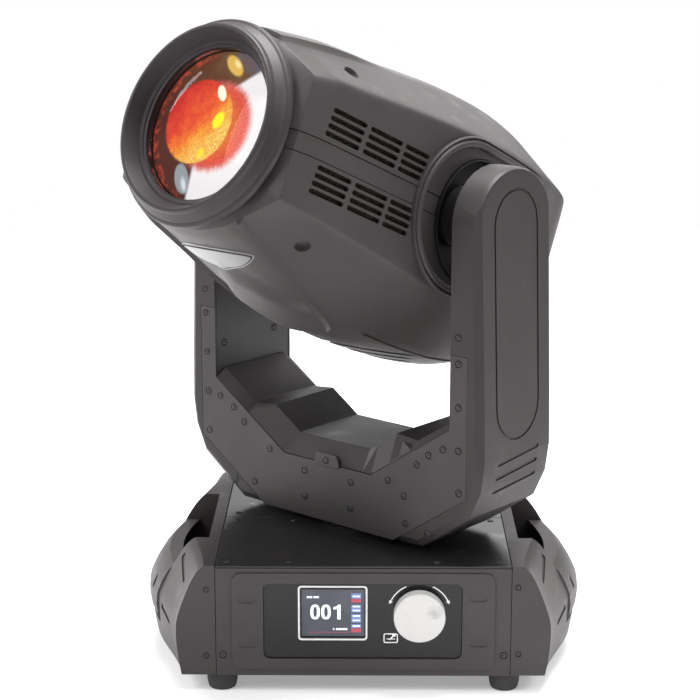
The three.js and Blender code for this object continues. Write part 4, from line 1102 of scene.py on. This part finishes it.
def cover_x(x, y, z):
    """The bowed side: fullest in the middle, a little less so towards the top."""
    swell = 1.0 if z < 50 else 1 - 0.4 * (z - 50) / 61
    return x + COVER_BOW * max(cos(pi * y / BASE_LONG), 0) ** 1.5 * swell


def cover_point(y, z):
    """A point of the cover's outer surface."""
    return Vector((cover_x(level_at(COVER_FALL, z), y, z), y, z))


def groove_tool(start, end, half, depth):
    """A slot cut along the cover's surface between two (y, z) points."""
    rows = []
    run_y, run_z = end[0] - start[0], end[1] - start[1]
    for k in range(11):
        y, z = start[0] + run_y * k / 10, start[1] + run_z * k / 10
        p = cover_point(y, z)
        du = cover_point(y + 1, z) - cover_point(y - 1, z)
        dv = cover_point(y, z + 1) - cover_point(y, z - 1)
        normal = du.cross(dv).normalized()
        along = (du * run_y + dv * run_z).normalized()
        across = normal.cross(along).normalized()
        if normal.x < 0:
            normal.negate()
        rows.append([tuple(p + across * half - normal * depth), tuple(p + across * half + normal * 4),
                     tuple(p - across * half + normal * 4), tuple(p - across * half - normal * depth)])
    return swept("groove", rows)


PIT_HALF = 69
CELL_R = 7
GROOVE_DEPTH = 1.3
HANDLE_PIT = [(152, 45), (186, 45), (186, 22), (230, 22), (230, 130), (152, 130)]
GROOVES = (((-80, 97), (-122, 85), 3.2), ((-80, 44), (-108, 37), 2.8))  # (y, z) ends, half width


def side_cover(name, side, hidden):
    rows = []
    for k in range(61):
        y = -BASE_LONG / 2 + 5 * k
        skin = [(cover_x(x, y, z), y, z) for x, z in COVER_LINE]
        rows.append([(SEAM_X, y, COVER_PROFILE[0][1]), *skin, (SEAM_X, y, COVER_PROFILE[-1][1])])
    shell = swept(name, rows)
    boolean(shell, prism("pit", HANDLE_PIT, -PIT_HALF, PIT_HALF, "Y"))
    cells = [prism("cell", polygon(161, 16 * k, CELL_R, 6), 30, 50) for k in range(-3, 4)]
    cells += [prism("cell", polygon(175, 16 * k + 8, CELL_R, 6), 30, 50) for k in range(-4, 4)]
    boolean(shell, join("cells", cells))
    cuts = []
    for way in (1, -1):
        for (ya, za), (yb, zb), half in GROOVES:
            cuts.append(groove_tool((ya * way, za), (yb * way, zb), half, GROOVE_DEPTH))
    boolean(shell, join("grooves", cuts))
    if side < 0:
        shell.data.transform(Matrix.Scale(-1, 4, (1, 0, 0)))
        weld(shell)
    return finish_piece(shell, "base", "shell", [hidden], width=0.7, angle=32)


side_cover("right_cover", 1, "right_side_cover")
side_cover("left_cover", -1, "left_side_cover")


def feet():
    for node in ("foot_front_left", "foot_front_right", "foot_rear_left", "foot_rear_right"):
        low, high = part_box(node)
        x, y = (low.x + high.x) / 2 / MM, (low.y + high.y) / 2 / MM
        bottom, top = low.z / MM, high.z / MM
        profile = [(0.01, bottom), (11.4, bottom), (12.6, bottom + 0.5), (13.4, bottom + 1.8),
                   (14.6, bottom + 7), (15.0, top - 3), (14.8, top - 0.8), (14.2, top), (0.01, top)]
        foot = shift(turned(node + "_rubber", profile, "Z", 64), x, y, 0)
        finish_piece(foot, "base", "rubber", [node], angle=40)


feet()


# ---- screws
def screw_head(r):
    """A button-head screw that looks along +Z, with a hexagonal socket."""
    profile = [(0.01, -1.8), (r, -1.8), (r, 0.30), (r * 0.95, 0.45), (r * 0.90, 0.40), (r * 0.88, -1.2),
               (r * 0.58, -1.2), (r * 0.57, 0.25), (r * 0.52, 0.5), (r * 0.36, 0.6), (0.01, 0.6)]
    return boolean(turned("screw", profile, "Z", 24), prism("socket", polygon(0, 0, r * 0.27, 6), -0.9, 3))


def screws(name, body, spots, r):
    """The screws of a body, and dark rings of painted shade in their recesses."""
    finish_piece(repeated(name, screw_head(r), spots), body, "screw")
    ring = turned("ring", [(0.01, -0.8), (r * 0.89, -0.8), (r * 0.89, 0.1), (0.01, 0.1)], "Z", 24)
    finish_piece(repeated(name + "_wells", ring, spots), body, "pit")


def local_face(node, place, axis, highest):
    """Where the outermost vertex of a CAD node lies along an axis of a turned body, in millimetres."""
    inverse = place.inverted()
    values = [(inverse @ v.co)[axis] / MM for v in frame["nodes"][node].data.vertices]
    return max(values) if highest else min(values)


# (along the tilt axis, height) of the screws in each of the yoke's plates
PLATE_SCREWS = [
    (-166.7, 333), (-165.7, 308), (-164.9, 267), (-164.1, 225), (-146.7, 223), (-163.5, 183),
    (-127.7, 214), (-113, 201), (-77.4, 179), (-29.6, 166), (31.6, 166), (79, 178), (114, 201),
    (128.5, 213), (145.8, 222), (162.2, 332), (162.7, 307), (163.4, 265.5), (164, 224), (164.8, 183),
    (98.9, 166.5), (31, 139), (-29.8, 139), (-98.9, 140), (-126.4, 137), (101, 139), (128, 135),
]
ARM_SCREWS = ((-43, 276), (32, 279))  # (across the arm, height) on each arm's inner face
PANEL_SCREWS = ((134, 21), (-134, 21))
EDGE_SCREWS = ((-149, 87), (-149.8, 20), (146.5, 90), (148, 22.6))
TAB_SCREW = (1, 183)
TAB_OUT = 2.6
YOKE_SCREW_R, PANEL_SCREW_R, COVER_SCREW_R = 4.1, 4.2, 3.2
TOP_SCREWS = [(x, y) for x in (-128, -70, 70, 128) for y in (-140, -18, 6, 140)]
LEFT, RIGHT, FRONT, REAR, UP = (-1, 0, 0), (1, 0, 0), (0, -1, 0), (0, 1, 0), (0, 0, 1)


def all_screws():
    front = local_face("yoke_front_plate", YOKE, 1, False)
    rear = local_face("yoke_rear_plate", YOKE, 1, True)
    spots = [((u, front, w), FRONT) for u, w in PLATE_SCREWS]
    spots += [((u, rear, w), REAR) for u, w in PLATE_SCREWS]
    spots += [((ARM_IN, v, w), LEFT) for v, w in ARM_SCREWS]
    spots += [((-ARM_IN, v, w), RIGHT) for v, w in ARM_SCREWS]
    spots.append(((TAB_SCREW[0], front - TAB_OUT, TAB_SCREW[1]), FRONT))
    screws("yoke_screws", "yoke", spots, YOKE_SCREW_R)
    spots = [((x, PANEL_Y, z), FRONT) for x, z in PANEL_SCREWS]
    screws("panel_screws", "base", spots, PANEL_SCREW_R)
    spots = [((x, PANEL_Y, z), FRONT) for x, z in EDGE_SCREWS]
    spots += [((x, y, BASE_TOP), UP) for x, y in TOP_SCREWS]
    screws("cover_screws", "base", spots, COVER_SCREW_R)


def plate_tab():
    """The small raised tab in the middle of the yoke's front plate; it leans in at its top corners."""
    front = local_face("yoke_front_plate", YOKE, 1, False)
    tab = round_rect(-14, 18, 176.5, 190, 3.2)
    tab = [(x - 2.0 if z > 186 and x > 2 else x + (1.5 if z > 186 else 0), z) for x, z in tab]
    finish_piece(prism("plate_tab", tab, front - TAB_OUT, front + 0.6, "Y"), "yoke", "shell", width=0.9)


plate_tab()
all_screws()

# CAD nodes that show: rounding of their edges, and their look where it isn't that of their slot
EDGES = {
    "front_panel": 0.5, "display_fascia": 0.3, "base_top_front": 0.8, "base_top_rear": 0.8,
    "connector_panel": 0.4, "left_handle": 1.2, "right_handle": 1.2, "yoke_front_plate": 0.4,
    "yoke_rear_plate": 0.4, "crossbar_cover": 0.8, "right_arm_cover": 1.6, "left_arm_cover": 1.6,
    "rear_cap": 0.8, "power_inlet": 0.5, "dmx_input": 0.4, "dmx_output": 0.4,
    "fuse_holder": 0.4, "power_rocker": 0.4,
}
# the arm covers and the crossbar take the darkened charcoal, painted shade
OTHER_LOOKS = {"base_top_front": "top_plate", "base_top_rear": "top_plate", "right_arm_cover": "arm",
               "left_arm_cover": "arm", "crossbar_cover": "arm", "right_trunnion": "black",
               "left_trunnion": "black"}
for node in [*EDGES, "right_trunnion", "left_trunnion"]:
    dress(node, OTHER_LOOKS.get(node), EDGES.get(node, 0), 14 if node == "crossbar_cover" else 28)


# ---- floor, lights and camera
# name, place, size, power; lengths here are in metres
LIGHTS = [
    ("key_left", (-1.7, -1.3, 1.8), (0.9, 1.3), 28),
    ("fill_right", (1.9, -1.0, 2.0), (0.7, 1.2), 27),
    ("top", (0.2, 0.35, 2.4), (1.3, 1.3), 105),
    ("back", (0.3, 1.9, 1.05), (1.4, 0.8), 9),
    ("rim_right", (1.8, 1.2, 1.0), (0.5, 1.6), 6),
    ("rim_left", (-1.8, 1.0, 1.0), (0.5, 1.6), 24),
]
ROOM_LIGHT = 0.24
CAMERA = {"place": (0.0022, -1.8426, 0.7333), "turn": (76.3, 0, 0.5), "lens": 97.7, "sensor": 36}
FLOOR_REACH = 2.4
AIM = Vector((0.0, 0.0, 0.35))


def studio():
    mesh = bpy.data.meshes.new("floor")
    low, high = -FLOOR_REACH, FLOOR_REACH
    corners = [(x, y, CAD_BOX[0].z) for x, y in box_line(low, high, low, high)]
    mesh.from_pydata(corners, [], [(0, 1, 2, 3)])
    floor = new_object("floor", mesh)
    n = Nodes("pale_floor")
    n.feed("Base Color", n.mix(n.noise(2, 2), (0.88, 0.88, 0.88), (0.92, 0.92, 0.92)))
    n.set(Roughness=0.9, Emission_Color=(1, 1, 1, 1), Emission_Strength=0.3)
    mesh.materials.append(n.material)

    world = bpy.data.worlds.new("studio")
    world.use_nodes = True
    tree = world.node_tree
    seen = tree.nodes.new("ShaderNodeLightPath")
    level = tree.nodes.new("ShaderNodeMapRange")
    level.inputs["To Min"].default_value = ROOM_LIGHT
    level.inputs["To Max"].default_value = 1.0
    tree.links.new(seen.outputs["Is Camera Ray"], level.inputs["Value"])
    tree.links.new(level.outputs["Result"], tree.nodes["Background"].inputs["Strength"])
    tree.nodes["Background"].inputs["Color"].default_value = (1, 1, 1, 1)
    bpy.context.scene.world = world

    for name, place, size, power in LIGHTS:
        lamp = bpy.data.lights.new(name, "AREA")
        lamp.shape = "RECTANGLE"
        lamp.size, lamp.size_y = size
        lamp.energy = power
        holder = new_object(name, lamp)
        holder.location = place
        holder.rotation_euler = (AIM - Vector(place)).to_track_quat("-Z", "Y").to_euler()

    lens = bpy.data.cameras.new("camera")
    lens.lens = CAMERA["lens"]
    lens.sensor_width = CAMERA["sensor"]
    camera = new_object("camera", lens)
    camera.location = CAMERA["place"]
    camera.rotation_euler = [radians(a) for a in CAMERA["turn"]]
    bpy.context.scene.camera = camera
    bpy.context.scene.view_settings.view_transform = "Standard"


studio()
